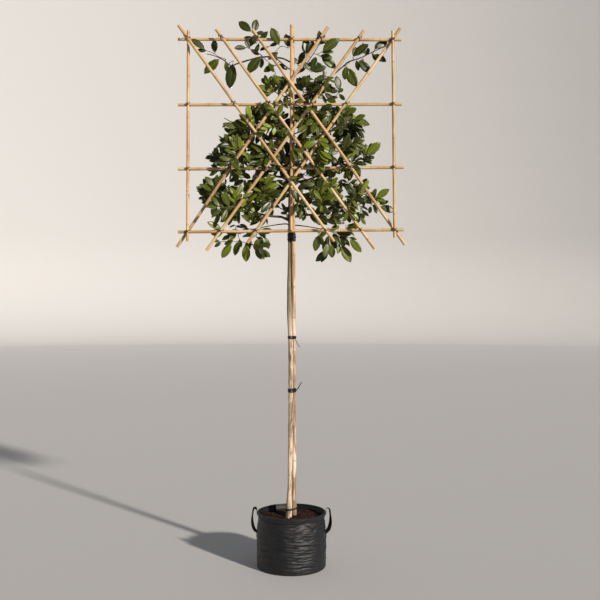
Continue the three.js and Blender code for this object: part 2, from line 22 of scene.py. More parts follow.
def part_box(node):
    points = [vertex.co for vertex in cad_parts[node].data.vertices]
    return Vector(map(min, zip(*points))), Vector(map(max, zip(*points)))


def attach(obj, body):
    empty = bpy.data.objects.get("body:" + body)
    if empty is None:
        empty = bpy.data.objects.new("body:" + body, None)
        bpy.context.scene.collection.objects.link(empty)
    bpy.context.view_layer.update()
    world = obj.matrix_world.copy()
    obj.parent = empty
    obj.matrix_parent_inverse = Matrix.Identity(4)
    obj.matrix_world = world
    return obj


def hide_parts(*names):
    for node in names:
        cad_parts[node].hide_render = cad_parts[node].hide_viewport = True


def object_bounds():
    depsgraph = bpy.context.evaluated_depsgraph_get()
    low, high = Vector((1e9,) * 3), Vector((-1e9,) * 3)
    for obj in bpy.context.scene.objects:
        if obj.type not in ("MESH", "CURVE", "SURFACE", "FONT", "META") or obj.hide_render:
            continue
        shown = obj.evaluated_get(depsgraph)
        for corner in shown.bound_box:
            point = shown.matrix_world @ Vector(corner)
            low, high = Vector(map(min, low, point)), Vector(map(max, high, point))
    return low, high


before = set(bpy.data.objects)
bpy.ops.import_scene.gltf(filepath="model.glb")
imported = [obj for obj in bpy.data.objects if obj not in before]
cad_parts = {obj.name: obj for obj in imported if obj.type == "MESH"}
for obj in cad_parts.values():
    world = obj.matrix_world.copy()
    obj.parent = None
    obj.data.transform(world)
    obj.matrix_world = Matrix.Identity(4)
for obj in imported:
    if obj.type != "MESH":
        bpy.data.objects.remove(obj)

CAD_BOUNDS = [list(corner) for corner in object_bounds()]
MM = 0.001
GOLDEN_ANGLE = 2.39996
UP = Vector((0.0, 0.0, 1.0))
FRONT = Vector((0.0, -1.0, 0.0))
RIGHT = Vector((1.0, 0.0, 0.0))
BACK = Vector((0.0, 1.0, 0.0))
LOG = logging.getLogger("pleached_tree")

Material = bpy.types.Material
NodeTree = bpy.types.NodeTree
Node = bpy.types.Node
Socket = bpy.types.NodeSocket
Mesh = bmesh.types.BMesh
Vert = bmesh.types.BMVert
Pair = tuple[float, float]
Rows = tuple[tuple[float, ...], ...]
Stops = tuple[tuple[float, str], ...]


# ---------------- colours and nodes


def linear(colour: str) -> tuple[float, float, float, float]:
    """Turns an sRGB hex colour into linear values.

    Args:
        colour: A colour such as "#466423".

    Returns:
        Linear red, green and blue, and an alpha of 1.
    """
    shares = [int(colour[place:place + 2], 16) / 255 for place in (1, 3, 5)]
    bent = [share / 12.92 if share <= 0.04045 else ((share + 0.055) / 1.055) ** 2.4 for share in shares]
    return (bent[0], bent[1], bent[2], 1.0)


def add_node(
    tree: NodeTree,
    kind: str,
    links: dict[str | int, object] | None = None,
    stops: Stops = (),
    **settings: object,
) -> Node:
    """Adds a node with its settings, values and links.

    Args:
        tree: The node tree that takes it.
        kind: The node's type name, without its leading "ShaderNode".
        links: A value or an output socket for each input, by the input's name or number.
        stops: Positions and hex colours of a colour ramp, in order.
        **settings: The node's own properties.

    Returns:
        The new node.
    """
    made = tree.nodes.new("ShaderNode" + kind)
    for name, value in settings.items():
        setattr(made, name, value)
    for place, value in (links or {}).items():
        if isinstance(value, Socket):
            tree.links.new(value, made.inputs[place])
        else:
            made.inputs[place].default_value = value
    if stops:
        elements = made.color_ramp.elements
        while len(elements) < len(stops):
            elements.new(0.5)
        for element, (position, colour) in zip(elements, stops):
            element.position = position
            element.color = linear(colour)
    return made


def new_material(name: str, **values: object) -> tuple[Material, NodeTree, Node]:
    """Makes a material with a Principled shader.

    Args:
        name: The material's name.
        **values: Constants for the shader's sockets, with _ for a space in a socket's name.

    Returns:
        The material, its node tree and its shader.
    """
    material = bpy.data.materials.new(name)
    material.use_nodes = True
    shader = material.node_tree.nodes["Principled BSDF"]
    for socket, value in values.items():
        shader.inputs[socket.replace("_", " ")].default_value = value
    return material, material.node_tree, shader


def dress(tree: NodeTree, shader: Node, colour: Socket, height: Socket, depth: float) -> None:
    """Gives a shader its colour and a fine relief.

    Args:
        tree: The material's node tree.
        shader: The shader.
        colour: The colour's output socket.
        height: The output socket of a value from 0 to 1 that is high where the surface is.
        depth: How deep the relief is.
    """
    relief = add_node(tree, "Bump", {"Height": height, "Distance": depth, "Strength": 1.0})
    tree.links.new(colour, shader.inputs["Base Color"])
    tree.links.new(relief.outputs[0], shader.inputs["Normal"])


def limb_patterns(tree: NodeTree, sizes: Rows) -> list[Socket]:
    """Spots that are drawn out along a limb or a cane.

    Args:
        tree: The material's node tree.
        sizes: Each pattern's width in mm, its length in widths and its detail.

    Returns:
        A value from 0 to 1 for each pattern.
    """
    grain = add_node(tree, "Attribute", attribute_name="grain").outputs["Vector"]
    values = []
    for width, length, detail in sizes:
        scale = (1000 / width, 1000 / width, 1000 / (width * length))
        place = add_node(tree, "Mapping", {"Vector": grain, "Scale": scale})
        spots = add_node(tree, "TexNoise", {"Vector": place.outputs[0], "Scale": 1.0, "Detail": detail})
        values.append(spots.outputs[0])
    return values


def crossing_ribs(tree: NodeTree, ways: tuple[tuple[Socket, float], ...]) -> Socket:
    """Two sets of ribs that cross, as the threads of a weave do.

    Args:
        tree: The material's node tree.
        ways: The value that each set follows, and its turns of phase for each unit of it.

    Returns:
        A value that is 1 on the high places and 0 in the hollows.
    """
    waves = []
    for value, rate in ways:
        phase = add_node(tree, "Math", {0: value, 1: rate}, operation="MULTIPLY")
        waves.append(add_node(tree, "Math", {0: phase.outputs[0]}, operation="SINE").outputs[0])
    weave = add_node(tree, "Math", {0: waves[0], 1: waves[1]}, operation="MULTIPLY")
    return add_node(tree, "MapRange", {0: weave.outputs[0], 1: -1.0, 2: 1.0, 3: 0.0, 4: 1.0}).outputs[0]


# ---------------- finishes


@dataclass(frozen=True)
class LeafFinish:
    """A waxy evergreen leaf: one plain colour with a soft shine, as its cuticle gives."""

    name: str
    colour: str
    roughness: float = 0.42
    wax: float = 0.2

    def make(self) -> Material:
        """Makes the material."""
        return new_material(
            self.name,
            Base_Color=linear(self.colour),
            Roughness=self.roughness,
            Specular_IOR_Level=0.32,
            Coat_Weight=self.wax,
            Coat_Roughness=0.35,
        )[0]


@dataclass(frozen=True)
class BarkFinish:
    """Smooth bark: pale and grey on the stem, dark brown on young wood.

    Fine streaks run along the limb and small pores dot it, so it looks dry and matt. The
    attribute grain holds a point's place across and along its limb, and youth runs from 0
    on the old stem to 1 on young wood. Two greys are painted shade, not the bark's colour:
    the stem darkens above about 1.25 m, where the support cane and the crown shade it, and
    the left side of its foot darkens, as it faces away from the sun.
    """

    name: str = "bark"
    streak_mm: float = 2.6
    blotch_mm: float = 26.0
    pore_mm: float = 5.5
    old: Stops = ((0.38, "#5f4d3e"), (0.46, "#a48e77"), (0.56, "#e2d0ba"))
    young: Stops = ((0.36, "#3c2d23"), (0.64, "#665040"))
    # painted shade: the dark grey of the upper stem, where the support cane and the crown shade it
    painted_shade: str = "#5f564a"
    painted_shade_over: Pair = (1.25, 1.50)
    # painted shade: the grey on the left side of the stem's foot, which faces away from the sun
    foot_shade: str = "#4b4844"
    foot_shade_under: Pair = (0.33, 0.37)
    foot_shade_left_of: Pair = (-0.021, -0.014)
    pores: str = "#5c4839"

    def make(self) -> Material:
        """Makes the material."""
        material, tree, shader = new_material(self.name, Roughness=0.8, Specular_IOR_Level=0.3)
        youth = add_node(tree, "Attribute", attribute_name="youth").outputs["Fac"]
        blotch, streak, pore = limb_patterns(
            tree, ((self.blotch_mm, 5, 3), (self.streak_mm, 16, 2), (self.pore_mm, 0.45, 1))
        )
        share = add_node(tree, "Mix", {0: 0.35, 2: blotch, 3: streak}).outputs[0]
        old, young = [
            add_node(tree, "ValToRGB", {0: share}, stops).outputs[0] for stops in (self.old, self.young)
        ]
        x, _, z = add_node(tree, "SeparateXYZ", {0: add_node(tree, "TexCoord").outputs["Object"]}).outputs
        # the first three masks are painted shade: the upper stem, and the foot's left side by height and by
        # side
        shade, foot, side, dots = [
            add_node(tree, "MapRange", {0: value, 1: start, 2: end, 3: low, 4: high}).outputs[0]
            for value, (start, end), low, high in (
                (z, self.painted_shade_over, 0.0, 0.75), (z, self.foot_shade_under, 0.9, 0.0),
                (x, self.foot_shade_left_of, 1.0, 0.0), (pore, (0.60, 0.66), 0.0, 0.65),
            )
        ]
        # painted shade on the left side of the foot, just above the soil
        foot_shade = add_node(tree, "Math", {0: foot, 1: side}, operation="MULTIPLY").outputs[0]
        layers = (
            (shade, linear(self.painted_shade)), (foot_shade, linear(self.foot_shade)),
            (youth, young), (dots, linear(self.pores)),
        )
        colour = old
        for cover, over in layers:
            colour = add_node(tree, "Mix", {0: cover, 6: colour, 7: over}, data_type="RGBA").outputs[2]
        height = add_node(tree, "Math", {0: dots, 1: -1.0, 2: streak}, operation="MULTIPLY_ADD").outputs[0]
        dress(tree, shader, colour, height, 0.5 * MM)
        return material


@dataclass(frozen=True)
class CaneFinish:
    """Dry bamboo: straw-coloured and satin, with fine lengthwise fibres and brown nodes.

    The attribute grain holds a point's place across and along its cane, and knot is 1 at a
    node and 0 between nodes. The fibres are drawn a little coarser than real ones, to show.
    """

    name: str = "bamboo"
    colours: tuple[str, str, str] = ("#a88353", "#be9d6e", "#d0b78d")
    greyed: tuple[str, str, str] = ("#846f57", "#b7a287", "#e0cfb8")
    greyed_up_to: float = 0.0
    fleck: str = "#8f6839"
    fleck_share: float = 0.5
    spread: float = 0.14
    knot: str = "#86643f"
    fibre_mm: float = 1.5
    stain_mm: float = 24.0
    fleck_mm: float = 6.0

    def make(self) -> Material:
        """Makes the material."""
        material, tree, shader = new_material(self.name, Roughness=0.45, Specular_IOR_Level=0.4)
        knot = add_node(tree, "Attribute", attribute_name="knot").outputs["Fac"]
        stain, fibre, fleck = limb_patterns(
            tree, ((self.stain_mm, 6, 2), (self.fibre_mm, 60, 1), (self.fleck_mm, 2.5, 2))
        )
        share = add_node(tree, "Mix", {0: 0.3, 2: stain, 3: fibre}).outputs[0]
        steps = (0.5 - self.spread, 0.5, 0.5 + self.spread)
        straw, grey = [
            add_node(tree, "ValToRGB", {0: share}, tuple(zip(steps, colours))).outputs[0]
            for colours in (self.colours, self.greyed)
        ]
        z = add_node(tree, "SeparateXYZ", {0: add_node(tree, "TexCoord").outputs["Object"]}).outputs[2]
        low, high = self.greyed_up_to - 0.3, self.greyed_up_to + 0.3
        fade, flecks, ring = [
            add_node(tree, "MapRange", {0: value, 1: start, 2: end, 3: first, 4: last}).outputs[0]
            for value, start, end, first, last in (
                (z, low, high, 1.0, 0.0), (fleck, 0.62, 0.68, 0.0, self.fleck_share),
                (knot, 0.0, 1.0, 0.0, 0.6),
            )
        ]
        layers = [(flecks, linear(self.fleck)), (ring, linear(self.knot))]
        if self.greyed_up_to:
            layers.insert(0, (fade, grey))
        colour = straw
        for cover, over in layers:
            colour = add_node(tree, "Mix", {0: cover, 6: colour, 7: over}, data_type="RGBA").outputs[2]
        dress(tree, shader, colour, fibre, 0.15 * MM)
        return material


@dataclass(frozen=True)
class CrumbFinish:
    """Moist compost or shredded bark: dark crumbs with no shine."""

    name: str
    dark: str
    light: str
    crumb_mm: float

    def make(self) -> Material:
        """Makes the material."""
        material, tree, shader = new_material(self.name, Roughness=0.95, Specular_IOR_Level=0.15)
        place = add_node(tree, "TexCoord").outputs["Object"]
        crumbs = add_node(
            tree, "TexNoise",
            {"Vector": place, "Scale": 1000 / self.crumb_mm, "Detail": 4.0, "Roughness": 0.65},
        )
        patches = add_node(tree, "TexNoise", {"Vector": place, "Scale": 110 / self.crumb_mm, "Detail": 2.0})
        share = add_node(tree, "Mix", {0: 0.35, 2: crumbs.outputs[0], 3: patches.outputs[0]})
        colour = add_node(tree, "ValToRGB", {0: share.outputs[0]}, ((0.38, self.dark), (0.64, self.light)))
        dress(tree, shader, colour.outputs[0], crumbs.outputs[0], 1.5 * MM)
        return material


@dataclass(frozen=True)
class WovenFinish:
    """Woven polypropylene: flat crossing tapes, dull black with grey dust on the high places.

    The tapes are drawn about twice as wide as real ones, so that they show.
    """

    name: str = "woven_polypropylene"
    tape_mm: float = 4.0
    girth_mm: float = 1270.0
    patch_mm: float = 70.0
    speck_mm: float = 6.0

    def make(self) -> Material:
        """Makes the material."""
        material, tree, shader = new_material(self.name, Roughness=0.49, Specular_IOR_Level=0.44)
        place = add_node(tree, "TexCoord").outputs["Object"]
        x, y, z = add_node(tree, "SeparateXYZ", {0: place}).outputs
        angle = add_node(tree, "Math", {0: y, 1: x}, operation="ARCTAN2").outputs[0]
        turns = float(round(self.girth_mm / self.tape_mm))
        high = crossing_ribs(tree, ((angle, turns), (z, 1000 * math.tau / self.tape_mm)))
        patches, specks = [
            add_node(
                tree, "TexNoise", {"Vector": place, "Scale": 1000 / size, "Detail": detail, "Roughness": 0.6}
            ).outputs[0]
            for size, detail in ((self.patch_mm, 4.0), (self.speck_mm, 3.0))
        ]
        dust = add_node(tree, "Mix", {0: 0.3, 2: patches, 3: specks}).outputs[0]
        base = add_node(tree, "ValToRGB", {0: dust}, ((0.36, "#07080b"), (0.66, "#111318"))).outputs[0]
        worn = add_node(tree, "Math", {0: high, 1: 0.16}, operation="MULTIPLY").outputs[0]
        colour = add_node(tree, "Mix", {0: worn, 6: base, 7: linear("#242429")}, data_type="RGBA")
        dress(tree, shader, colour.outputs[2], high, 0.3 * MM)
        return material


@dataclass(frozen=True)
class WebbingFinish:
    """Polypropylene webbing: black, with ribs along it and a dusty nap.

    It follows the attribute grain, which holds a point's place across and along the strap.
    """

    name: str = "polypropylene_webbing"
    rib_mm: float = 2.4
    pick_mm: float = 2.0

    def make(self) -> Material:
        """Makes the material."""
        material, tree, shader = new_material(self.name, Roughness=0.75, Specular_IOR_Level=0.15)
        grain = add_node(tree, "Attribute", attribute_name="grain").outputs["Vector"]
        across, _, along = add_node(tree, "SeparateXYZ", {0: grain}).outputs
        rates = (1000 * math.tau / self.rib_mm, 1000 * math.tau / self.pick_mm)
        high = crossing_ribs(tree, ((across, rates[0]), (along, rates[1])))
        colour = add_node(tree, "ValToRGB", {0: high}, ((0.2, "#09090a"), (0.9, "#171618")))
        dress(tree, shader, colour.outputs[0], high, 0.4 * MM)
        return material


@dataclass(frozen=True)
class SmoothFinish:
    """A moulded or coated surface, such as rubber or enamelled wire, with faint unevenness."""

    name: str
    dark: str
    light: str
    roughness: float
    grain_mm: float = 3.0

    def make(self) -> Material:
        """Makes the material."""
        material, tree, shader = new_material(self.name, Roughness=self.roughness, Specular_IOR_Level=0.5)
        place = add_node(tree, "TexCoord").outputs["Object"]
        spots = add_node(tree, "TexNoise", {"Vector": place, "Scale": 1000 / self.grain_mm, "Detail": 3.0})
        colour = add_node(tree, "ValToRGB", {0: spots.outputs[0]}, ((0.35, self.dark), (0.70, self.light)))
        dress(tree, shader, colour.outputs[0], spots.outputs[0], 0.15 * MM)
        return material


# ---------------- mesh helpers


@dataclass
class Station:
    """One ring of a limb or a strap: its centre, its half widths and its marks."""

    centre: Vector
    across: float
    through: float = 0.0
    knot: float = 0.0
    youth: float = 0.0
    twist: float = 0.0


def blank_mesh() -> Mesh:
    """Starts a mesh that carries the marks which the finishes read."""
    mesh = bmesh.new()
    mesh.verts.layers.float_vector.new("grain")
    mesh.verts.layers.float.new("knot")
    mesh.verts.layers.float.new("youth")
    return mesh


def polar(radius: float, angle: float, height: float) -> Vector:
    """The point at a radius, an angle and a height."""
    return Vector((math.cos(angle) * radius, math.sin(angle) * radius, height))


def turn_from(start: float, end: float) -> float:
    """The turn from one angle to another, from minus half a turn to half a turn."""
    return (end - start + math.pi) % math.tau - math.pi


def turned(profile: list[Pair], sides: int, merge: float = 1e-6) -> Mesh:
    """Turns a profile once round Z.

    Args:
        profile: Its points, as radius and height.
        sides: The number of steps in the turn.
        merge: The distance under which vertices become one.

    Returns:
        The mesh, closed at its seam and poles.
    """
    mesh = blank_mesh()
    verts = [mesh.verts.new((radius, 0.0, height)) for radius, height in profile]
    edges = [mesh.edges.new(pair) for pair in zip(verts, verts[1:])]
    bmesh.ops.spin(
        mesh, geom=verts + edges, cent=(0, 0, 0), axis=(0, 0, 1), dvec=(0, 0, 0), angle=math.tau,
        steps=sides, use_merge=True, use_duplicate=False,
    )
    bmesh.ops.remove_doubles(mesh, verts=mesh.verts, dist=merge)
    bmesh.ops.recalc_face_normals(mesh, faces=mesh.faces)
    return mesh


def upright_to(direction: Vector, wanted: Vector) -> Vector:
    """The unit vector nearest to wanted that stands square to direction."""
    square = wanted - direction * wanted.dot(direction)
    if square.length < 1e-4:
        square = direction.orthogonal()
    return square.normalized()


def connected(start: Vert) -> list[Vert]:
    """Every vertex that edges join to start, start included."""
    found = {start: None}
    waiting = [start]
    while waiting:
        for edge in waiting.pop().link_edges:
            for vert in edge.verts:
                if vert not in found:
                    found[vert] = None
                    waiting.append(vert)
    return list(found)


def add_limb(
    mesh: Mesh, stations: list[Station], sides: int, reference: Vector = FRONT, square: float = 1.0
) -> list[Vert]:
    """Adds a closed limb or strap: a cylinder cut into rings and bent along its stations.

    Args:
        mesh: The mesh that takes it.
        stations: Its rings, in order.
        sides: The number of vertices in a ring.
        reference: The direction that a ring's across axis keeps nearest to.
        square: 1 for a round section, and less for one with flatter sides.

    Returns:
        The new vertices.
    """
    steps = len(stations) - 1
    made = bmesh.ops.create_cone(
        mesh, cap_ends=True, cap_tris=False, segments=sides, radius1=1.0, radius2=1.0, depth=1.0
    )["verts"]
    rising = [
        edge for vert in made if vert.co.z < 0 for edge in vert.link_edges if edge.other_vert(vert).co.z > 0
    ]
    start = made[0]
    if steps > 1:
        cut = bmesh.ops.subdivide_edges(mesh, edges=rising, cuts=steps - 1)["geom_inner"]
        start = next(part for part in cut if isinstance(part, Vert))
    made = connected(start)
    centres = [station.centre for station in stations]
    headings = [
        (centres[min(place + 1, steps)] - centres[max(place - 1, 0)]).normalized()
        for place in range(steps + 1)
    ]
    normals = [upright_to(headings[0], reference)]
    lengths = [0.0]
    for place in range(1, steps + 1):
        turn = headings[place - 1].rotation_difference(headings[place])
        normals.append(upright_to(headings[place], turn @ normals[-1]))
        lengths.append(lengths[-1] + (centres[place] - centres[place - 1]).length)
    grain = mesh.verts.layers.float_vector["grain"]
    knot = mesh.verts.layers.float["knot"]
    youth = mesh.verts.layers.float["youth"]
    for vert in made:
        place = min(max(round((vert.co.z + 0.5) * steps), 0), steps)
        station = stations[place]
        spread = math.copysign(abs(vert.co.x) ** square, vert.co.x) * station.across
        rise = math.copysign(abs(vert.co.y) ** square, vert.co.y) * (station.through or station.across)
        normal = Quaternion(headings[place], station.twist) @ normals[place]
        vert.co = station.centre + normal * spread + headings[place].cross(normal) * rise
        vert[grain] = (spread, rise, lengths[place])
        vert[knot] = station.knot
        vert[youth] = station.youth
    return made


def hollow_end(mesh: Mesh, end: Vector, sides: int, rim: float, depth: float) -> None:
    """Sinks the cap of a cane that lies nearest to end.

    Args:
        mesh: The cane's mesh.
        end: A point at the cane's end.
        sides: The number of the cap's corners.
        rim: The width of the rim that stays.
        depth: How far the middle sinks.
    """
    caps = [face for face in mesh.faces if len(face.verts) == sides]
    cap = min(caps, key=lambda face: (face.calc_center_median() - end).length)
    inward = -cap.normal.copy()
    bmesh.ops.inset_individual(mesh, faces=[cap], thickness=rim, use_even_offset=True)
    sunk = bmesh.ops.extrude_discrete_faces(mesh, faces=[cap])["faces"]
    verts = list({vert for face in sunk for vert in face.verts})
    bmesh.ops.translate(mesh, verts=verts, vec=inward * depth)


def smooth_line(points: list[Vector], count: int) -> list[Vector]:
    """Draws a smooth line through points and returns count points along it.

    Args:
        points: The points it passes through.
        count: The number of points to return, both ends included.

    Returns:
        Points at equal shares of each stretch.
    """
    padded = [points[0] * 2 - points[1], *points, points[-1] * 2 - points[-2]]
    line = []
    for place in range(count):
        share = place / (count - 1) * (len(points) - 1)
        stretch = min(int(share), len(points) - 2)
        part = share - stretch
        before, start, end, after = padded[stretch:stretch + 4]
        line.append(
            0.5 * (
                2 * start
                + (end - before) * part
                + (2 * before - 5 * start + 4 * end - after) * part ** 2
                + (3 * start - before - 3 * end + after) * part ** 3
            )
        )
    return line


def mark_creases(mesh: Mesh, degrees: float) -> None:
    """Makes every edge sharp whose faces meet at more than the given angle."""
    limit = math.radians(degrees)
    for edge in mesh.edges:
        edge.smooth = len(edge.link_faces) == 2 and edge.calc_face_angle(0.0) < limit
    for face in mesh.faces:
        face.smooth = True


def finish_piece(
    mesh: Mesh,
    name: str,
    materials: list[Material],
    nodes: Iterable[str] = (),
    crease: float = 40.0,
) -> None:
    """Turns a mesh into a finished piece that rides on the part.

    Args:
        mesh: The piece's mesh, which is freed.
        name: The piece's name.
        materials: Its materials, in the order of its faces' indices.
        nodes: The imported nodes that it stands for.
        crease: The angle in degrees past which an edge is sharp.
    """
    mark_creases(mesh, crease)
    data = bpy.data.meshes.new(name)
    mesh.to_mesh(data)
    mesh.free()
    put_on_part(data, materials, nodes)


def put_on_part(data: bpy.types.Mesh, materials: list[Material], nodes: Iterable[str]) -> None:
    """Makes a mesh a piece that rides on the part.

    Args:
        data: The piece's mesh, which names it.
        materials: Its materials, in the order of its faces' indices.
        nodes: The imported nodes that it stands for.
    """
    for material in materials:
        data.materials.append(material)
    piece = bpy.data.objects.new(data.name, data)
    bpy.context.scene.collection.objects.link(piece)
    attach(piece, "root")
    if nodes:
        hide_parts(*nodes)
    LOG.info("%s: %d faces", data.name, len(data.polygons))


def node_triangles(node: str) -> np.ndarray:
    """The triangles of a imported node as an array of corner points."""
    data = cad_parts[node].data
    points = np.empty(len(data.vertices) * 3)
    data.vertices.foreach_get("co", points)
    corners = np.empty(len(data.polygons) * 3, dtype=int)
    data.polygons.foreach_get("vertices", corners)
    return points.reshape(-1, 3)[corners].reshape(-1, 3, 3)


def sections(node: str, axis: int, places: Iterable[float]) -> list[tuple[Vector, Vector]]:
    """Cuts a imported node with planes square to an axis.

    Args:
        node: The node's name.
        axis: 0, 1 or 2 for X, Y or Z.
        places: Where the planes stand on the axis.

    Returns:
        For each plane, the middle of the cut and half its extent.
    """
    triangles = node_triangles(node)
    starts = triangles.reshape(-1, 3)
    ends = np.roll(triangles, -1, axis=1).reshape(-1, 3)
    cuts = []
    for place in places:
        crossed = (starts[:, axis] < place) != (ends[:, axis] < place)
        one, other = starts[crossed], ends[crossed]
        share = (place - one[:, axis]) / (other[:, axis] - one[:, axis])
        points = one + (other - one) * share[:, None]
        low, high = points.min(axis=0), points.max(axis=0)
        cuts.append((Vector((low + high) / 2), Vector((high - low) / 2)))
    return cuts


def wander(place: Vector, size_mm: float, seed: float) -> float:
    """A smooth value from about -1 to 1 that strays over size_mm."""
    return noise.noise(place * (1000 / size_mm) + Vector((seed, seed * 1.7, -seed)))


# ---------------- the grow bag


@dataclass(frozen=True)
class Crease:
    """A soft fold in the bag's wall: where it lies, how it runs and how deep it is."""

    angle: float
    height: float
    slope: float
    length: float
    width: float
    depth: float


@dataclass
class GrowBag:
    """The bag: a round sleeve of woven fabric that bulges, creases and ends in a folded hem.

    A drape is a large fold under the hem: its angle in degrees, its height in mm, its slope in
    radians and its length in mm. A swell is a depth and a width in mm, with a seed.
    """

    sides: int = 260
    rows: int = 144
    fabric: float = 2.6 * MM
    hem_depth: float = 28 * MM
    hem_step: float = 4.2 * MM
    hem_fold: float = 3.0 * MM
    pinch: float = 3.4 * MM
    corner: float = 9 * MM
    crease_count: int = 60
    rumple: float = 3.6 * MM
    drapes: Rows = (
        (-68, 288, 0.30, 70), (-62, 262, -0.42, 52), (-84, 276, 0.10, 60), (-40, 270, 0.55, 50),
        (-120, 282, -0.22, 60), (35, 280, 0.3, 70), (80, 270, -0.4, 60), (140, 284, 0.25, 70),
        (205, 272, -0.3, 60),
    )
    drape_width: float = 9 * MM
    drape_depth: float = 4.6 * MM
    swells: Rows = ((2.6, 150, 3.1), (1.3, 48, 9.4), (0.6, 19, 5.2))
    lying_share: float = 0.72
    bulge: float = 3.0 * MM
    skin: float = 1.0 * MM
    stitch_pitch: float = 6.5 * MM
    seed: int = 7
    creases: list[Crease] = field(default_factory=list)

    def __post_init__(self) -> None:
        """Reads the wall's radius at each height and scatters the creases."""
        self.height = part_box("grow_bag")[1].z
        self.heights = np.linspace(2 * MM, self.height - self.hem_depth - 2 * MM, 24)
        self.radii = [half.y for _, half in sections("grow_bag", 2, self.heights)]
        draw = random.Random(self.seed)
        for _ in range(self.crease_count):
            lying = draw.random() < self.lying_share
            self.creases.append(Crease(
                angle=draw.uniform(-math.pi, math.pi),
                height=self.height * (draw.random() ** 1.3 * 0.82 + 0.04),
                slope=draw.gauss(0.0, 0.16) if lying else draw.gauss(1.2, 0.5),
                length=draw.uniform(0.03, 0.12),
                width=draw.uniform(3.0, 8.0) * MM,
                depth=draw.uniform(0.8, 3.2) * MM,
            ))
        for turn, height, slope, length in self.drapes:
            place = (math.radians(turn), height * MM, slope, length * MM)
            self.creases.append(Crease(*place, self.drape_width, self.drape_depth))

    def slack(self, angle: float, height: float) -> float:
        """How far the wall stands in or out of its plain round shape, in metres."""
        radius = self.radii[0]
        around = polar(radius, angle, height)
        free = min(1.0, height / 0.03) * min(1.0, max(0.15, (self.height - height) / 0.07))
        total = sum(depth * MM * wander(around, width, seed) for depth, width, seed in self.swells)
        flat = Vector((around.x * 0.16, around.y * 0.16, around.z + 0.008 * wander(around, 70, 12.0)))
        strength = float(np.interp(height, (0.02, 0.06, 0.19, 0.25, 0.31), (0.3, 1.0, 0.9, 0.45, 0.2)))
        strength *= 0.55 + 0.6 * max(0.0, 0.5 + wander(around, 120, 7.7))
        coarse, fine = [
            max(1 - abs(wander(flat, width, seed)) * 2.6, -0.2) - 0.45
            for width, seed in ((16, 2.7), (8, 5.1))
        ]
        total += self.rumple * strength * (coarse + 0.28 * fine)
        for crease in self.creases:
            along = turn_from(crease.angle, angle) * radius
            up = height - crease.height
            if abs(along) > 0.16 or abs(up) > 0.16:
                continue
            run = along * math.cos(crease.slope) + up * math.sin(crease.slope)
            off = up * math.cos(crease.slope) - along * math.sin(crease.slope)
            off = (off + 0.006 * math.sin(run * 28 + crease.angle * 7)) / crease.width
            fold = math.exp(-(off ** 2)) - 0.45 * math.exp(-((off - 1.7) ** 2))
            total -= crease.depth * math.exp(-((run / crease.length) ** 2)) * fold
        under = height - (self.height - self.hem_depth)
        neck = self.pinch * math.exp(-((under / (24 * MM if under < 0 else 10 * MM)) ** 2))
        return min(total * free, self.bulge) - self.skin - neck

    def hem(self, height: float) -> float:
        """How far the hem stands out from the wall: it flares towards the rim."""
        share = (height - self.height + self.hem_depth) / self.hem_depth
        return self.hem_fold + (self.hem_step - self.hem_fold) * min(max(share, 0.0), 1.0)

    def wall(self, angle: float, height: float) -> float:
        """The outer radius of the wall at an angle and a height."""
        return float(np.interp(height, self.heights, self.radii)) + self.slack(angle, height)

    def build(self, finish: Material, thread: Material) -> None:
        """Builds the bag and its stitching.

        Args:
            finish: The fabric's material.
            thread: The stitching's material.
        """
        rim = self.height - 1.5 * MM
        hem_foot = self.height - self.hem_depth
        outside = [(0.0, 0.0), (0.08, 0.0), (0.16, 0.0), (self.radii[0] - self.corner, 0.0)]
        for turn in np.linspace(0, math.pi / 2, 6)[1:]:
            reach = self.radii[0] - self.corner * (1 - math.sin(turn))
            outside.append((reach, self.corner * (1 - math.cos(turn))))
        heights = list(np.linspace(self.corner + 4 * MM, hem_foot - 4.0 * MM, self.rows))
        outside += [(float(np.interp(height, self.heights, self.radii)), height) for height in heights]
        edge = self.radii[-1]
        outside += [(edge - 2.0 * MM, hem_foot - 2.2 * MM), (edge - 2.0 * MM, hem_foot - 0.6 * MM)]
        outside += [(edge + self.hem_fold, hem_foot + 0.4 * MM)]
        lifts = np.linspace(hem_foot + 3 * MM, rim - 1 * MM, 8)
        outside += [(edge + self.hem(height), height) for height in lifts]
        outside += [(edge + 1.6 * MM, self.height), (edge - 1.4 * MM, self.height), (edge - self.fabric, rim)]
        inside = [(edge - self.fabric, height) for height in np.linspace(rim - 3 * MM, 0.24, 14)]
        inside += [(self.radii[0] - 6 * MM, 0.12), (self.radii[0] - 8 * MM, 4 * MM), (0.0, 4 * MM)]
        mesh = turned(outside + inside, self.sides)
        for vert in mesh.verts:
            radius = math.hypot(vert.co.x, vert.co.y)
            angle = math.atan2(vert.co.y, vert.co.x)
            if radius > self.radii[0] - self.corner - 1 * MM and vert.co.z > 1 * MM:
                vert.co = polar(radius + self.slack(angle, vert.co.z), angle, vert.co.z)
            if vert.co.z > hem_foot:
                share = (vert.co.z - hem_foot) / self.hem_depth
                vert.co.z += 1.1 * MM * (wander(vert.co, 90, 2.0) - 0.6) * share
        finish_piece(mesh, "bag", [finish], ["grow_bag"])
        self.stitching(thread, hem_foot + 5 * MM)

    def stitching(self, thread: Material, height: float) -> None:
        """Runs a row of stitches round the hem.

        Args:
            thread: The stitches' material.
            height: The height of the row.
        """
        mesh = blank_mesh()
        count = round(math.tau * self.radii[-1] / self.stitch_pitch)
        for place in range(count):
            middle = math.tau * place / count
            stations = []
            for share, lift in ((-0.36, -0.5), (-0.18, 0.3), (0.18, 0.3), (0.36, -0.5)):
                angle = middle + math.tau * share / count
                radius = self.wall(angle, height) + self.hem(height) + lift * MM
                stations.append(Station(polar(radius, angle, height), 0.55 * MM))
            add_limb(mesh, stations, 5, UP)
        finish_piece(mesh, "hem_stitches", [thread])


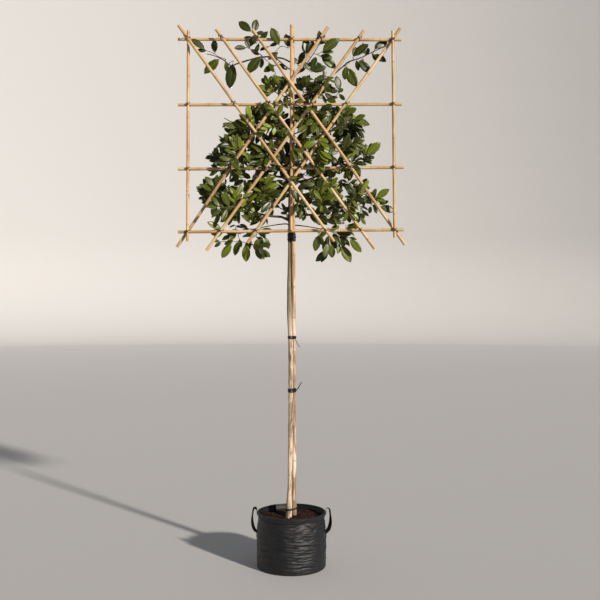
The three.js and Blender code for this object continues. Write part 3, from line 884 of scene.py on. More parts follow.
@dataclass
class Handles:
    """Two loops of webbing, each stitched to the wall at its foot and to the hem at its head."""

    width: float = 25 * MM
    thickness: float = 2.2 * MM
    foot: float = 172 * MM
    reach: float = 228 * MM
    hem: float = 3.2 * MM
    points: int = 90
    twist: Rows = (
        (0.10, 0), (0.22, 58), (0.34, 50), (0.50, 20), (0.72, 22), (0.86, 0),
    )

    def path(self, bag: GrowBag, angle: float) -> list[Vector]:
        """The loop's line, before it is turned to its side of the bag."""
        skin = 1.6 * MM

        def beside(height: float, out: float) -> Vector:
            """A point that stands out from the wall."""
            return Vector((bag.wall(angle, height) + skin + out, 0.0, height))

        return [
            beside(self.foot, 0.0),
            beside(0.184, 0.0),
            beside(0.198, 0.4 * MM),
            Vector((0.218, 0.0, 0.218)),
            Vector((self.reach - 1.5 * MM, 0.0, 0.248)),
            Vector((self.reach, 0.0, 0.280)),
            Vector((self.reach - 3 * MM, 0.0, 0.312)),
            Vector((0.220, 0.0, 0.334)),
            Vector((0.209, 0.0, 0.338)),
            beside(0.329, self.hem + 1.5 * MM),
            beside(0.312, self.hem + 0.4 * MM),
            beside(0.298, self.hem + 0.4 * MM),
        ]

    def build(self, bag: GrowBag, finish: Material, thread: Material) -> None:
        """Builds both handles.

        Args:
            bag: The bag that they are stitched to.
            finish: The webbing's material.
            thread: The stitching's material.
        """
        for name, angle in (("handle_left", math.pi), ("handle_right", 0.0)):
            mesh = blank_mesh()
            line = smooth_line(self.path(bag, angle), self.points)
            turns = np.interp(np.linspace(0, 1, self.points), *zip(*self.twist))
            stations = [
                Station(point, self.width / 2, self.thickness / 2, twist=math.radians(turn))
                for point, turn in zip(line, turns)
            ]
            add_limb(mesh, stations, 16, BACK, 0.45)
            stitches = blank_mesh()
            for low, high, out in ((self.foot + 4 * MM, self.foot + 22 * MM, 0.0), (0.300, 0.316, self.hem)):
                self.patch(stitches, bag, angle, low, high, out)
            for made, piece, material in ((mesh, name, finish), (stitches, name + "_stitches", thread)):
                if angle:
                    half_turn = Matrix.Rotation(math.pi, 3, "Z")
                    bmesh.ops.rotate(made, cent=(0, 0, 0), matrix=half_turn, verts=made.verts)
                nodes = [name] if made is mesh else []
                finish_piece(made, piece + ("_webbing" if nodes else ""), [material], nodes, 55)

    def patch(self, mesh: Mesh, bag: GrowBag, angle: float, low: float, high: float, out: float) -> None:
        """Stitches a box with a cross in it through the webbing.

        Args:
            mesh: The mesh that takes the stitches.
            bag: The bag below the webbing.
            angle: The side of the bag.
            low: The box's foot.
            high: The box's head.
            out: How far the hem lifts the webbing.
        """
        half = self.width / 2 - 4 * MM
        corners = [(-half, low), (half, low), (half, high), (-half, high)]
        runs = [(corners[place], corners[(place + 1) % 4]) for place in range(4)]
        runs += [(corners[0], corners[2]), (corners[1], corners[3])]
        for (y_from, z_from), (y_to, z_to) in runs:
            count = max(round(math.hypot(y_to - y_from, z_to - z_from) / (4 * MM)), 1)
            for place in range(count):
                stations = []
                for share, lift in ((0.12, -0.3), (0.34, 0.5), (0.66, 0.5), (0.88, -0.3)):
                    part = (place + share) / count
                    height = z_from + (z_to - z_from) * part
                    radius = bag.wall(angle, height) + out + 2.9 * MM + lift * MM
                    y = y_from + (y_to - y_from) * part
                    stations.append(Station(Vector((radius, y, height)), 0.5 * MM))
                add_limb(mesh, stations, 5, RIGHT)


@dataclass
class PottingSoil:
    """Compost that fills the bag: a lumpy top with shreds of bark on it.

    A lump is a height and a width in mm, with a seed.
    """

    rings: int = 46
    sides: int = 150
    clear: float = 3.2 * MM
    chip_count: int = 520
    foot: float = 0.21
    lumps: Rows = ((5.0, 60, 4.0), (3.2, 22, 8.0), (1.6, 8, 1.0))
    seed: int = 23

    def __post_init__(self) -> None:
        """Reads the soil's level."""
        self.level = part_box("soil")[1].z

    def top(self, x: float, y: float) -> float:
        """The height of the soil at a point."""
        place = Vector((x, y, 0.0))
        lumps = sum(depth * wander(place, width, seed) for depth, width, seed in self.lumps)
        hollow = 9.0 * math.exp(-(((x + 0.05) / 0.045) ** 2 + ((y + 0.02) / 0.05) ** 2))
        edge = -4.0 * max(0.0, (math.hypot(x, y) - 0.165) / 0.03)
        return self.level + (lumps - hollow + edge - 5.5) * MM

    def build(self, bag: GrowBag, finish: Material, chips: Material) -> None:
        """Builds the soil and its chips.

        Args:
            bag: The bag that holds it.
            finish: The compost's material.
            chips: The bark chips' material.
        """
        rims = [share / self.rings for share in range(self.rings + 1)]
        profile = [(share, 1.0) for share in rims] + [(1.0, -1.0), (0.0, -1.0)]
        mesh = turned(profile, self.sides)
        for vert in mesh.verts:
            share = math.hypot(vert.co.x, vert.co.y)
            angle = math.atan2(vert.co.y, vert.co.x)
            height = self.level if vert.co.z > 0 else self.foot
            place = polar(share * (bag.wall(angle, height) - bag.fabric - self.clear), angle, height)
            if vert.co.z > 0:
                place.z = self.top(place.x, place.y)
            vert.co = place
        finish_piece(mesh, "compost", [finish], ["soil"], 70)
        self.scatter(bag, chips)

    def scatter(self, bag: GrowBag, chips: Material) -> None:
        """Scatters shreds of bark over the soil.

        Args:
            bag: The bag that holds the soil.
            chips: The shreds' material.
        """
        draw = random.Random(self.seed)
        mesh = blank_mesh()
        for _ in range(self.chip_count):
            angle = draw.uniform(-math.pi, math.pi)
            reach = math.sqrt(draw.random()) * (bag.radii[-1] - 12 * MM)
            x, y = math.cos(angle) * reach, math.sin(angle) * reach
            if math.hypot(x, y - 0.02) < 0.042:
                continue
            size = draw.uniform(2.5, 9.0) * MM
            made = bmesh.ops.create_icosphere(mesh, subdivisions=1, radius=1.0)["verts"]
            turn = Quaternion([draw.uniform(-1, 1) for _ in range(3)], draw.uniform(0, 3))
            shape = Vector((size, size * draw.uniform(0.35, 0.7), size * draw.uniform(0.18, 0.4)))
            for vert in made:
                knock = 1 + 0.3 * draw.uniform(-1, 1)
                lying = Vector((vert.co.x * shape.x, vert.co.y * shape.y, vert.co.z * shape.z)) * knock
                lying.rotate(Quaternion(UP, angle * 5))
                lying.rotate(Quaternion(turn.axis, turn.angle * 0.18))
                vert.co = lying + Vector((x, y, self.top(x, y) + shape.z * 0.55))
        finish_piece(mesh, "bark_chips", [chips], crease=25)


# ---------------- stem and boughs


@dataclass
class Stem:
    """The clear stem and its leader: a round trunk with faint flutes, and scars of cut shoots."""

    sides: int = 26
    ring_pitch: float = 7 * MM
    flare: float = 5 * MM
    scar_count: int = 13
    young_over: Pair = (1.93, 2.03)
    scars_under: float = 1.86
    seed: int = 5

    def line(self) -> tuple[np.ndarray, list[tuple[Vector, Vector]]]:
        """The trunk's heights, and the middle and half extent of its section at each."""
        low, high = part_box("trunk")
        heights = np.linspace(low.z + 1 * MM, high.z - 2.5 * MM, int((high.z - low.z) / self.ring_pitch))
        return heights, sections("trunk", 2, heights)

    def build(self, bark: Material) -> None:
        """Builds the trunk.

        Args:
            bark: The bark's material.
        """
        heights, cuts = self.line()
        smooth = np.array([list(middle) for middle, _ in cuts])
        widths = np.array([half.y for _, half in cuts])
        window = np.ones(9) / 9
        for values in (smooth[:, 0], smooth[:, 1], widths):
            values[:] = np.convolve(np.pad(values, 4, mode="edge"), window, mode="valid")
        stations = []
        for height, middle, width in zip(heights, smooth, widths):
            youth = float(np.interp(height, self.young_over, (0.0, 1.0)))
            stations.append(Station(Vector((middle[0], middle[1], height)), width, youth=youth))
        foot, head = stations[0], stations[-1]
        sunk = Station(foot.centre - UP * 0.03, foot.across + self.flare)
        tip = Station(head.centre + UP * 2 * MM, head.across * 0.4, youth=1.0)
        mesh = blank_mesh()
        made = add_limb(mesh, [sunk, *stations, tip], self.sides)
        draw = random.Random(self.seed)
        scars = [
            (
                draw.uniform(heights[0] + 0.08, self.scars_under), draw.uniform(-math.pi, math.pi),
                draw.uniform(1.0, 2.0),
            )
            for _ in range(self.scar_count)
        ]
        mesh.normal_update()
        grain = mesh.verts.layers.float_vector["grain"]
        for vert in made:
            place = Vector(vert[grain])
            angle = math.atan2(place.y, place.x)
            height = vert.co.z
            relief = 0.35 * wander(Vector((place.x, place.y, place.z * 0.16)), 9, 1.0) - 0.25
            relief += 0.5 * wander(Vector((place.x, place.y, place.z * 0.3)), 34, 6.0)
            for scar_height, scar_angle, size in scars:
                off = math.hypot(turn_from(scar_angle, angle) * 13, (height - scar_height) / MM) / 6.5
                if off < 3:
                    relief += size * (math.exp(-off ** 2) - 0.55 * math.exp(-((off / 0.45) ** 2)))
            vert.co += vert.normal * relief * MM
        finish_piece(mesh, "trunk_bark", [bark], ["trunk"], 60)


@dataclass
class Limb:
    """A bough or stem that carries twigs: its line and its radius at both ends."""

    line: list[Vector]
    root_radius: float
    tip_radius: float


@dataclass
class Boughs:
    """Boughs that leave the trunk for the outer masses, dark and lightly ringed by old buds."""

    names: tuple[str, ...] = ("low", "middle", "high", "arm")
    sides: int = 12
    bud_pitch: float = 34 * MM
    limbs: dict[str, Limb] = field(default_factory=dict)

    def build(self, bark: Material) -> None:
        """Builds every bough and keeps its line for the twigs.

        Args:
            bark: The bark's material.
        """
        mesh = blank_mesh()
        nodes = []
        for name in self.names:
            for side, sign in (("left", -1), ("right", 1)):
                node = f"bough_{name}_{side}"
                nodes.append(node)
                low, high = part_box(node)
                near, far = (high.x, low.x) if sign < 0 else (low.x, high.x)
                places = np.linspace(near + sign * 5 * MM, far - sign * 5 * MM, 22)
                cuts = sections(node, 0, places)
                line = [middle for middle, _ in cuts]
                widths = [half.y for _, half in cuts]
                line.insert(0, line[0] + (line[0] - line[2]).normalized() * 12 * MM)
                line.append(line[-1] + (line[-1] - line[-3]).normalized() * 5 * MM)
                limb = Limb(smooth_line(line, 64), widths[0], widths[-1])
                self.limbs[f"{name}_{side}"] = limb
                add_limb(mesh, self.stations(limb), self.sides)
        finish_piece(mesh, "boughs", [bark], nodes, 60)

    def stations(self, limb: Limb) -> list[Station]:
        """The rings of one bough, with a collar at the trunk and a swelling at each old bud."""
        length = 0.0
        stations = []
        for place, centre in enumerate(limb.line):
            if place:
                length += (centre - limb.line[place - 1]).length
            share = place / (len(limb.line) - 1)
            radius = limb.root_radius + (limb.tip_radius - limb.root_radius) * share
            collar = 0.35 * math.exp(-((length / 0.016) ** 2))
            swell = 0.09 * max(0.0, math.cos(length / self.bud_pitch * math.tau)) ** 8
            stations.append(Station(centre, radius * (1 + collar + swell), youth=1.0))
        return stations


# ---------------- canes and lashings


@dataclass
class Cane:
    """One bamboo cane: its line from foot to head and its radius there."""

    name: str
    line: list[Vector]
    foot_radius: float
    head_radius: float


@dataclass
class CaneLattice:
    """The lattice of thin canes and the thicker support cane behind it.

    The shape of a node is a row of places along the cane in mm, each with its swell and darkness.
    """

    radius: float = 9 * MM
    sides: int = 18
    node_pitch: float = 205 * MM
    wall: float = 0.36
    hollow: float = 14 * MM
    straight_points: int = 3
    bent_points: int = 26
    node_shape: Rows = (
        (-9, 1.0, 0), (-4, 1.02, 0.1), (-1.6, 1.065, 0.55), (0, 1.075, 0.9), (1.4, 0.985, 1),
        (3.2, 1.02, 0.35), (9, 1.0, 0),
    )
    rails: tuple[str, ...] = ("rail_1", "rail_2", "rail_3", "rail_4")
    risers: tuple[str, ...] = (
        "upright_left", "upright_middle", "upright_right",
        "rising_1", "rising_2", "rising_3", "falling_1", "falling_2", "falling_3",
    )
    seed: int = 31
    canes: dict[str, Cane] = field(default_factory=dict)

    def read(self, name: str, axis: int, count: int) -> Cane:
        """Reads a cane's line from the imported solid.

        Args:
            name: The node.
            axis: The axis that the cane runs along most.
            count: The number of points along its line.

        Returns:
            The cane, from its low end to its high end on that axis.
        """
        low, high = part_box(name)
        inset = 3.2 * self.radius
        cuts = sections(name, axis, np.linspace(low[axis] + inset, high[axis] - inset, count))
        line = [middle for middle, _ in cuts]
        for end, limit, sign in ((0, low[axis], 1), (-1, high[axis], -1)):
            inner = line[1] if end == 0 else line[-2]
            heading = (line[end] - inner).normalized()
            lean = math.sqrt(max(0.0, 1 - heading[axis] ** 2))
            reach = (limit + sign * self.radius * lean - line[end][axis]) / heading[axis]
            line[end] = line[end] + heading * reach
        widths = [cuts[0][1].y, cuts[-1][1].y] if name == "support_cane" else [self.radius, self.radius]
        return Cane(name, line, widths[0], widths[1])

    def stations(self, cane: Cane, draw: random.Random) -> list[Station]:
        """The rings of one cane: plain stretches, and a raised ring and a groove at each node."""
        points = smooth_line(cane.line, 240)
        gone = [0.0]
        for one, other in zip(points, points[1:]):
            gone.append(gone[-1] + (other - one).length)
        length = gone[-1]
        nodes = []
        place = draw.uniform(0.25, 0.9) * self.node_pitch
        while place < length - 15 * MM:
            nodes.append(place)
            place += self.node_pitch * draw.uniform(0.8, 1.25)
        marks = [(0.0, 1.0, 0.0), (length, 1.0, 0.0)]
        for node in nodes:
            marks += [(node + step * MM, swell, dark) for step, swell, dark in self.node_shape]
            if node + self.node_pitch * 0.6 < length:
                marks.append((node + self.node_pitch * 0.45, 0.985, 0.0))
        if len(cane.line) > self.straight_points:
            marks += [
                (mark, 1.0, 0.0) for mark in np.arange(20 * MM, length - 20 * MM, 28 * MM)
                if all(abs(mark - node) > 14 * MM for node in nodes)
            ]
        coordinates = np.array([list(point) for point in points])
        stations = []
        for mark, swell, dark in sorted(mark for mark in marks if 0 <= mark[0] <= length):
            centre = Vector([np.interp(mark, gone, coordinates[:, axis]) for axis in range(3)])
            radius = cane.foot_radius + (cane.head_radius - cane.foot_radius) * mark / length
            stations.append(Station(centre, radius * swell, knot=dark))
        return stations

    def build(self, finish: Material, weathered: Material) -> None:
        """Builds every cane.

        Args:
            finish: The bamboo's material.
            weathered: The support cane's material, which has stood outdoors.
        """
        draw = random.Random(self.seed)
        for name in (*self.rails, *self.risers, "support_cane"):
            low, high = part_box(name)
            bent = high.y - low.y > 2.5 * self.radius and name != "support_cane"
            points = self.bent_points if bent else self.straight_points
            cane = self.read(name, 0 if name in self.rails else 2, points)
            self.canes[name] = cane
            mesh = blank_mesh()
            stations = self.stations(cane, draw)
            reference = Quaternion(RIGHT, draw.uniform(0, 3)) @ FRONT
            made = add_limb(mesh, stations, self.sides, reference)
            grain = mesh.verts.layers.float_vector["grain"]
            shift = Vector([draw.uniform(-9, 9) for _ in range(3)])
            for vert in made:
                vert[grain] = Vector(vert[grain]) + shift
            mesh.normal_update()
            for station in (stations[0], stations[-1]):
                hollow_end(mesh, station.centre, self.sides, station.across * self.wall, self.hollow)
            bamboo = weathered if name == "support_cane" else finish
            finish_piece(mesh, name + "_bamboo", [bamboo], [name], 50)


Crossed = list[tuple[Vector, Vector, float]]


@dataclass
class Lashings:
    """Wire that ties each riser to each rail: two loops that cross, and a twisted tail."""

    wire: float = 1.1 * MM
    loop_points: int = 22
    sides: int = 6
    tail: float = 13 * MM
    seed: int = 41

    def crossing(self, rail: Cane, riser: Cane) -> tuple[Vector, Vector, Vector, Vector] | None:
        """Finds where a riser passes a rail.

        Args:
            rail: A cane that runs along X.
            riser: A cane that runs up.

        Returns:
            The point on each cane and the heading of each, or None if they don't pass.
        """
        riser_x, riser_y, heights = np.array([list(point) for point in riser.line]).T
        rail_x, _, rail_z = np.array([list(point) for point in rail.line]).T
        height = rail_z[1]
        for _ in range(4):
            x = float(np.interp(height, heights, riser_x))
            height = float(np.interp(x, rail_x, rail_z))
        inside = heights[0] + 10 * MM < height < heights[-1] - 10 * MM
        if not (inside and rail_x[0] < x < rail_x[-1]):
            return None
        y = float(np.interp(height, heights, riser_y))
        above = min(range(1, len(heights)), key=lambda place: (heights[place] < height, heights[place]))
        run = (riser.line[above] - riser.line[above - 1]).normalized()
        along = (rail.line[-1] - rail.line[0]).normalized()
        return Vector((x, rail.line[1].y, height)), Vector((x, y, height)), along, run

    def loop(self, mesh: Mesh, canes: Crossed, heading: Vector, twist: float) -> None:
        """Winds one loop of wire tight round canes that cross.

        Args:
            mesh: The mesh that takes it.
            canes: The centre, heading and radius of each cane.
            heading: The direction across the canes in which the loop lies.
            twist: How far the loop's foot strays from its head along the other diagonal.
        """
        aside = heading.cross(BACK)
        stations = []
        for place in range(self.loop_points + 1):
            turn = -math.pi / 2 + math.tau * place / self.loop_points
            outward = (math.cos(turn), math.sin(turn))
            best = None
            for centre, run, radius in canes:
                lean = max(heading.cross(run).length, 0.3)
                wide = radius / lean
                scale = math.hypot(wide * outward[0], radius * outward[1])
                reach = (wide ** 2 * outward[0] / scale, radius ** 2 * outward[1] / scale + centre.y)
                score = reach[0] * outward[0] + reach[1] * outward[1]
                if best is None or score > best[0]:
                    best = (score, reach)
            grown = [share + (self.wire + 0.1 * MM) * part for share, part in zip(best[1], outward)]
            middle = canes[0][0]
            stray = aside * twist * (place / self.loop_points - 0.5)
            point = Vector((middle.x, 0, middle.z)) + heading * grown[0] + BACK * grown[1] + stray
            stations.append(Station(point, self.wire))
        add_limb(mesh, stations, self.sides)

    def build(self, lattice: CaneLattice, finish: Material) -> None:
        """Builds every lashing as one piece.

        Args:
            lattice: The canes that they tie.
            finish: The wire's material.
        """
        draw = random.Random(self.seed)
        mesh = blank_mesh()
        support = lattice.canes["support_cane"]
        for rail_name in lattice.rails:
            for riser_name in lattice.risers:
                rail, riser = lattice.canes[rail_name], lattice.canes[riser_name]
                found = self.crossing(rail, riser)
                if found is None:
                    continue
                on_rail, on_riser, along, run = found
                canes = [(on_rail, along, rail.foot_radius), (on_riser, run, riser.foot_radius)]
                if riser_name == "upright_middle":
                    share = (on_rail.z - support.line[0].z) / (support.line[-1].z - support.line[0].z)
                    behind = support.line[0].lerp(support.line[-1], share)
                    canes.append((behind, UP, support.head_radius * 1.1))
                flat_run = Vector((run.x, 0, run.z)).normalized()
                for heading in ((along + flat_run).normalized(), (along - flat_run).normalized()):
                    for shift in (-0.9, 0.9):
                        moved = heading.cross(BACK) * shift * self.wire
                        placed = [(centre + moved, way, radius) for centre, way, radius in canes]
                        self.loop(mesh, placed, heading, draw.uniform(-2, 2) * MM)
                self.twist_tail(mesh, canes, draw)
        finish_piece(mesh, "wire_lashings", [finish])

    def twist_tail(self, mesh: Mesh, canes: Crossed, draw: random.Random) -> None:
        """Twists the wire's two ends together in front of the crossing.

        Args:
            mesh: The mesh that takes them.
            canes: The centre, heading and radius of each cane.
            draw: The source of chance.
        """
        front = min(canes, key=lambda entry: entry[0].y - entry[2])
        root = Vector((canes[0][0].x, front[0].y - front[2] - 1.6 * MM, canes[0][0].z))
        way = Vector((draw.uniform(-1, 1), -0.5, draw.uniform(-1, 0.4))).normalized()
        side = upright_to(way, UP)
        for strand in (0, math.pi):
            stations = []
            for place in range(11):
                share = place / 10
                spoke = Quaternion(way, strand + place * 1.1) @ side
                point = root + (way * share - UP * 0.04 * share ** 2) * self.tail + spoke * self.wire
                stations.append(Station(point, self.wire * 0.9))
            add_limb(mesh, stations, 5)


# ---------------- ties


@dataclass(frozen=True)
class Tie:
    """One tie round the trunk and the support cane."""

    node: str
    turns: int
    width: float
    thickness: float
    band: float
    slant: float = 0.0
    tail: Pair | None = None


Circles = list[tuple[Vector, float]]


@dataclass
class StemTies:
    """Flat straps wound round the trunk and the support cane, some with a loose end."""

    ties: tuple[Tie, ...] = (
        Tie("tie_base", 1, 11 * MM, 3.2 * MM, 11 * MM, 0.10),
        Tie("tie_lower", 3, 9.5 * MM, 1.8 * MM, 25 * MM, 0.03, (36 * MM, 48 * MM)),
        Tie("tie_upper", 2, 9.5 * MM, 1.8 * MM, 18 * MM, -0.02, (32 * MM, -56 * MM)),
        Tie("tie_frame", 5, 12.0 * MM, 2.0 * MM, 51 * MM, 0.02),
    )
    points: int = 44

    def build(self, finish: Material) -> None:
        """Builds every tie as a piece of its own.

        Args:
            finish: The strap's material.
        """
        for tie in self.ties:
            low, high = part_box(tie.node)
            mesh = blank_mesh()
            middle = (low.z + high.z) / 2
            if tie.tail:
                middle = low.z + tie.band / 2 if tie.tail[1] > 0 else high.z - tie.band / 2
            stem, stake = [sections(node, 2, [middle])[0] for node in ("trunk", "support_cane")]
            circles = [(stem[0], stem[1].y), (stake[0], stake[1].y)]
            centre_x = (stem[0].x + stake[0].x) / 2
            rise = max(tie.band - tie.width, 0.0)
            total = tie.turns * self.points
            stations = []
            for place in range(total + 1):
                share = place / total
                settle = 0.5 - 0.5 * math.cos(math.pi * share)
                layer = tie.thickness * (0.5 + 0.22 * (place % (2 * self.points)) / self.points)
                point = self.belt(circles, place, layer + 0.3 * MM)
                point.z = middle - rise / 2 + rise * (0.6 * share + 0.4 * settle)
                point.z += tie.slant * (point.x - centre_x)
                stations.append(Station(point, tie.width / 2, tie.thickness / 2))
            add_limb(mesh, stations, 12, UP, 0.55)
            core = []
            for place in range(self.points + 1):
                point = self.belt(circles, place, 0.7 * MM)
                point.z = middle + tie.slant * (point.x - centre_x)
                core.append(Station(point, tie.band * 0.48, 0.5 * MM))
            add_limb(mesh, core, 8, UP, 0.55)
            self.knot(mesh, tie, circles, middle)
            finish_piece(mesh, tie.node + "_strap", [finish], [tie.node], 50)

    def belt(self, circles: Circles, place: int, out: float) -> Vector:
        """Finds a point of a tight belt round the trunk and the support cane.

        Args:
            circles: The centre and radius of each.
            place: The point's number, from the front round by the right.
            out: How far the belt stands out from them.

        Returns:
            The point, at the height of the circle that it touches.
        """
        turn = -math.pi / 2 + math.tau * place / self.points
        outward = Vector((math.cos(turn), math.sin(turn), 0))
        centre, radius = max(circles, key=lambda circle: circle[0].dot(outward) + circle[1])
        return centre + outward * (radius + out)

    def knot(self, mesh: Mesh, tie: Tie, circles: Circles, height: float) -> None:
        """Adds the tuck where a strap ends, and its loose end where it has one.

        Args:
            mesh: The mesh that takes them.
            tie: The tie.
            circles: The centre and radius of the trunk and of the support cane.
            height: The middle of the tie.
        """
        stake, radius = circles[1]
        front = min(centre.y - size for centre, size in circles)
        side = Vector((stake.x + radius + tie.thickness, stake.y - 3 * MM, height))
        if tie.turns == 1:
            side = Vector((stake.x - radius, front + 2 * MM, height))
        if tie.tail:
            reach, rise = tie.tail
            start = side - Vector((3 * MM, 0, 0))
            if rise < 0:
                start = Vector((stake.x - 6 * MM, front - 2.4 * MM, height))
                reach += 9 * MM
            path = [
                start,
                start + Vector((reach * 0.36, -2 * MM, rise * 0.2)),
                start + Vector((reach * 0.66, -4 * MM, rise * 0.62)),
                start + Vector((reach, -4 * MM, rise)),
            ]
            line = smooth_line(path, 24)
            widths = np.linspace(1.0, 0.7, 24) * (3.1 * MM if rise > 0 else 2.1 * MM)
            stations = [Station(point, width, 1.1 * MM) for point, width in zip(line, widths)]
            add_limb(mesh, stations, 8, UP, 0.6)
        for lift, lean in ((-0.5, 0.5), (0.5, -0.4)):
            start = side + Vector((-2 * MM, -5 * MM, lift * tie.width * 0.5))
            bends = ((0, 0, 0), (2.5, -2, lean * 3), (1, 5, lean * 6))
            line = smooth_line([start + Vector(bend) * MM for bend in bends], 10)
            stations = [Station(point, tie.width * 0.28, tie.thickness / 2) for point in line]
            add_limb(mesh, stations, 8, UP, 0.6)


# ---------------- the crown


class Tone(Enum):
    """The colour of a spray's leaves: upper face, underside and midrib."""

    DEEP = ("#2d360a", "#4a5227", "#525f20")
    MID = ("#404a0d", "#565f2c", "#657128")
    BRIGHT = ("#586312", "#687136", "#7b8532")
    YOUNG = ("#77832c", "#828b47", "#959c50")


DEEP, MID, BRIGHT, YOUNG = Tone


Template = tuple[np.ndarray, list[tuple[int, ...]], np.ndarray]


@dataclass(frozen=True)
class LeafShape:
    """The blade of one leaf: its length, half width and how it folds, arches and waves."""

    length: float = 106 * MM
    half_width: float = 26 * MM
    thickness: float = 0.7 * MM
    petiole: float = 12 * MM
    midrib: float = 1.5 * MM
    fold: float = 0.22
    arch: float = 0.14
    wave: float = 1.6 * MM
    twist: float = 0.1
    rows: int = 5
    outline: tuple[float, ...] = (0.05, 0.62, 0.97, 0.96, 0.58, 0.0)
    stretch: tuple[float, ...] = (0.0, 0.16, 0.40, 0.63, 0.85, 1.0)

    def template(self) -> Template:
        """Builds one leaf lying along X with its upper face towards Z.

        Returns:
            Its vertices, its faces, and each face's role: 0 upper, 1 underside, 2 midrib.
        """
        mesh = blank_mesh()
        bmesh.ops.create_grid(mesh, x_segments=self.rows, y_segments=5, size=1.0)
        for vert in mesh.verts:
            row = round((vert.co.x + 1) / 2 * self.rows)
            column = round((vert.co.y + 1) / 2 * 5)
            share = self.stretch[row]
            half = self.outline[row] * self.half_width
            rib = min(self.midrib * (1 - 0.6 * share), half)
            across = (-half, -(half + rib) * 0.52, -rib, rib, (half + rib) * 0.52, half)[column]
            bend = self.arch * self.length * share ** 2
            outward = abs(across) / self.half_width
            rise = abs(across) * self.fold * (1 - 0.4 * outward)
            edge = self.wave * math.sin(share * 9 + (2 if across > 0 else 0)) * outward ** 2
            turn = self.twist * share
            lift = rise + edge
            vert.co = Vector((
                self.length * share - 0.3 * bend * share,
                across * math.cos(turn) - lift * math.sin(turn),
                across * math.sin(turn) + lift * math.cos(turn) - bend,
            ))
        bmesh.ops.remove_doubles(mesh, verts=mesh.verts, dist=1e-5)
        for face in mesh.faces:
            ribbed = max(abs(vert.co.y) for vert in face.verts) < self.midrib * 1.6
            face.material_index = 2 if ribbed else 0
        bmesh.ops.recalc_face_normals(mesh, faces=mesh.faces)
        if sum(face.normal.z for face in mesh.faces) < 0:
            bmesh.ops.reverse_faces(mesh, faces=mesh.faces)
        bmesh.ops.solidify(mesh, geom=list(mesh.faces), thickness=self.thickness)
        mesh.normal_update()
        for face in mesh.faces:
            if face.normal.z < 0.0 and face.material_index == 0:
                face.material_index = 1
        start = Vector((0, 0, -self.thickness / 2))
        stalk = [
            Station(Vector((-self.petiole, 0, 0.5 * MM)), 1.3 * MM),
            Station(start + Vector((6 * MM, 0, 0.2 * MM)), 0.8 * MM),
        ]
        made = set(add_limb(mesh, stalk, 3))
        for face in mesh.faces:
            if face.verts[0] in made:
                face.material_index = 2
        mesh.verts.index_update()
        points = np.array([list(vert.co) for vert in mesh.verts])
        faces = [tuple(vert.index for vert in face.verts) for face in mesh.faces]
        roles = np.array([face.material_index for face in mesh.faces])
        mesh.free()
        return points, faces, roles


@dataclass(frozen=True)
class Sprig:
    """The leaves at one twig's end: its place, and each leaf's heading in degrees and length in mm.

    A heading of 0 lies to the right on the lattice's face, and 90 points up.
    """

    x: float
    z: float
    leaves: Rows
    tone: Tone = MID
    ahead: bool = False


@dataclass(frozen=True)
class Mass:
    """One mass of foliage: the cell it fills, what feeds it, its tufts and its placed sprigs.

    The cell and the heights are in millimetres, as the solids' are. Fuller enlarges the leaves
    that are set one by one.
    """

    name: str
    across: Pair
    rise: Pair
    tufts: int
    leaves: tuple[int, int] = (6, 8)
    sizes: Pair = (0.60, 0.90)
    from_trunk: float | None = None
    bough: str | None = None
    lean: tuple[float, float, float] = (0.4, -0.1, 0.3)
    young: float = 0.06
    fuller: float = 1.0
    via: Rows = ()
    sprigs: tuple[Sprig, ...] = ()

    @property
    def side(self) -> int:
        """-1 on the left and 1 on the right."""
        return -1 if "left" in self.name else 1

    def point(self, outward: float, y: float, upward: float) -> Vector:
        """A point of the cell, from its inner to its outer side and from its foot to its head."""
        low, high = self.across if self.side > 0 else self.across[::-1]
        foot, head = self.rise
        return Vector((low + (high - low) * outward, y, foot + (head - foot) * upward)) * MM


HANGING: dict[str, Any] = {"leaves": (4, 6), "sizes": (0.66, 0.95), "lean": (0.3, -0.1, -1.4)}
UPRIGHT: dict[str, Any] = {"leaves": (3, 5), "sizes": (0.6, 0.85), "lean": (0.4, -0.1, 0.8), "fuller": 1.06}

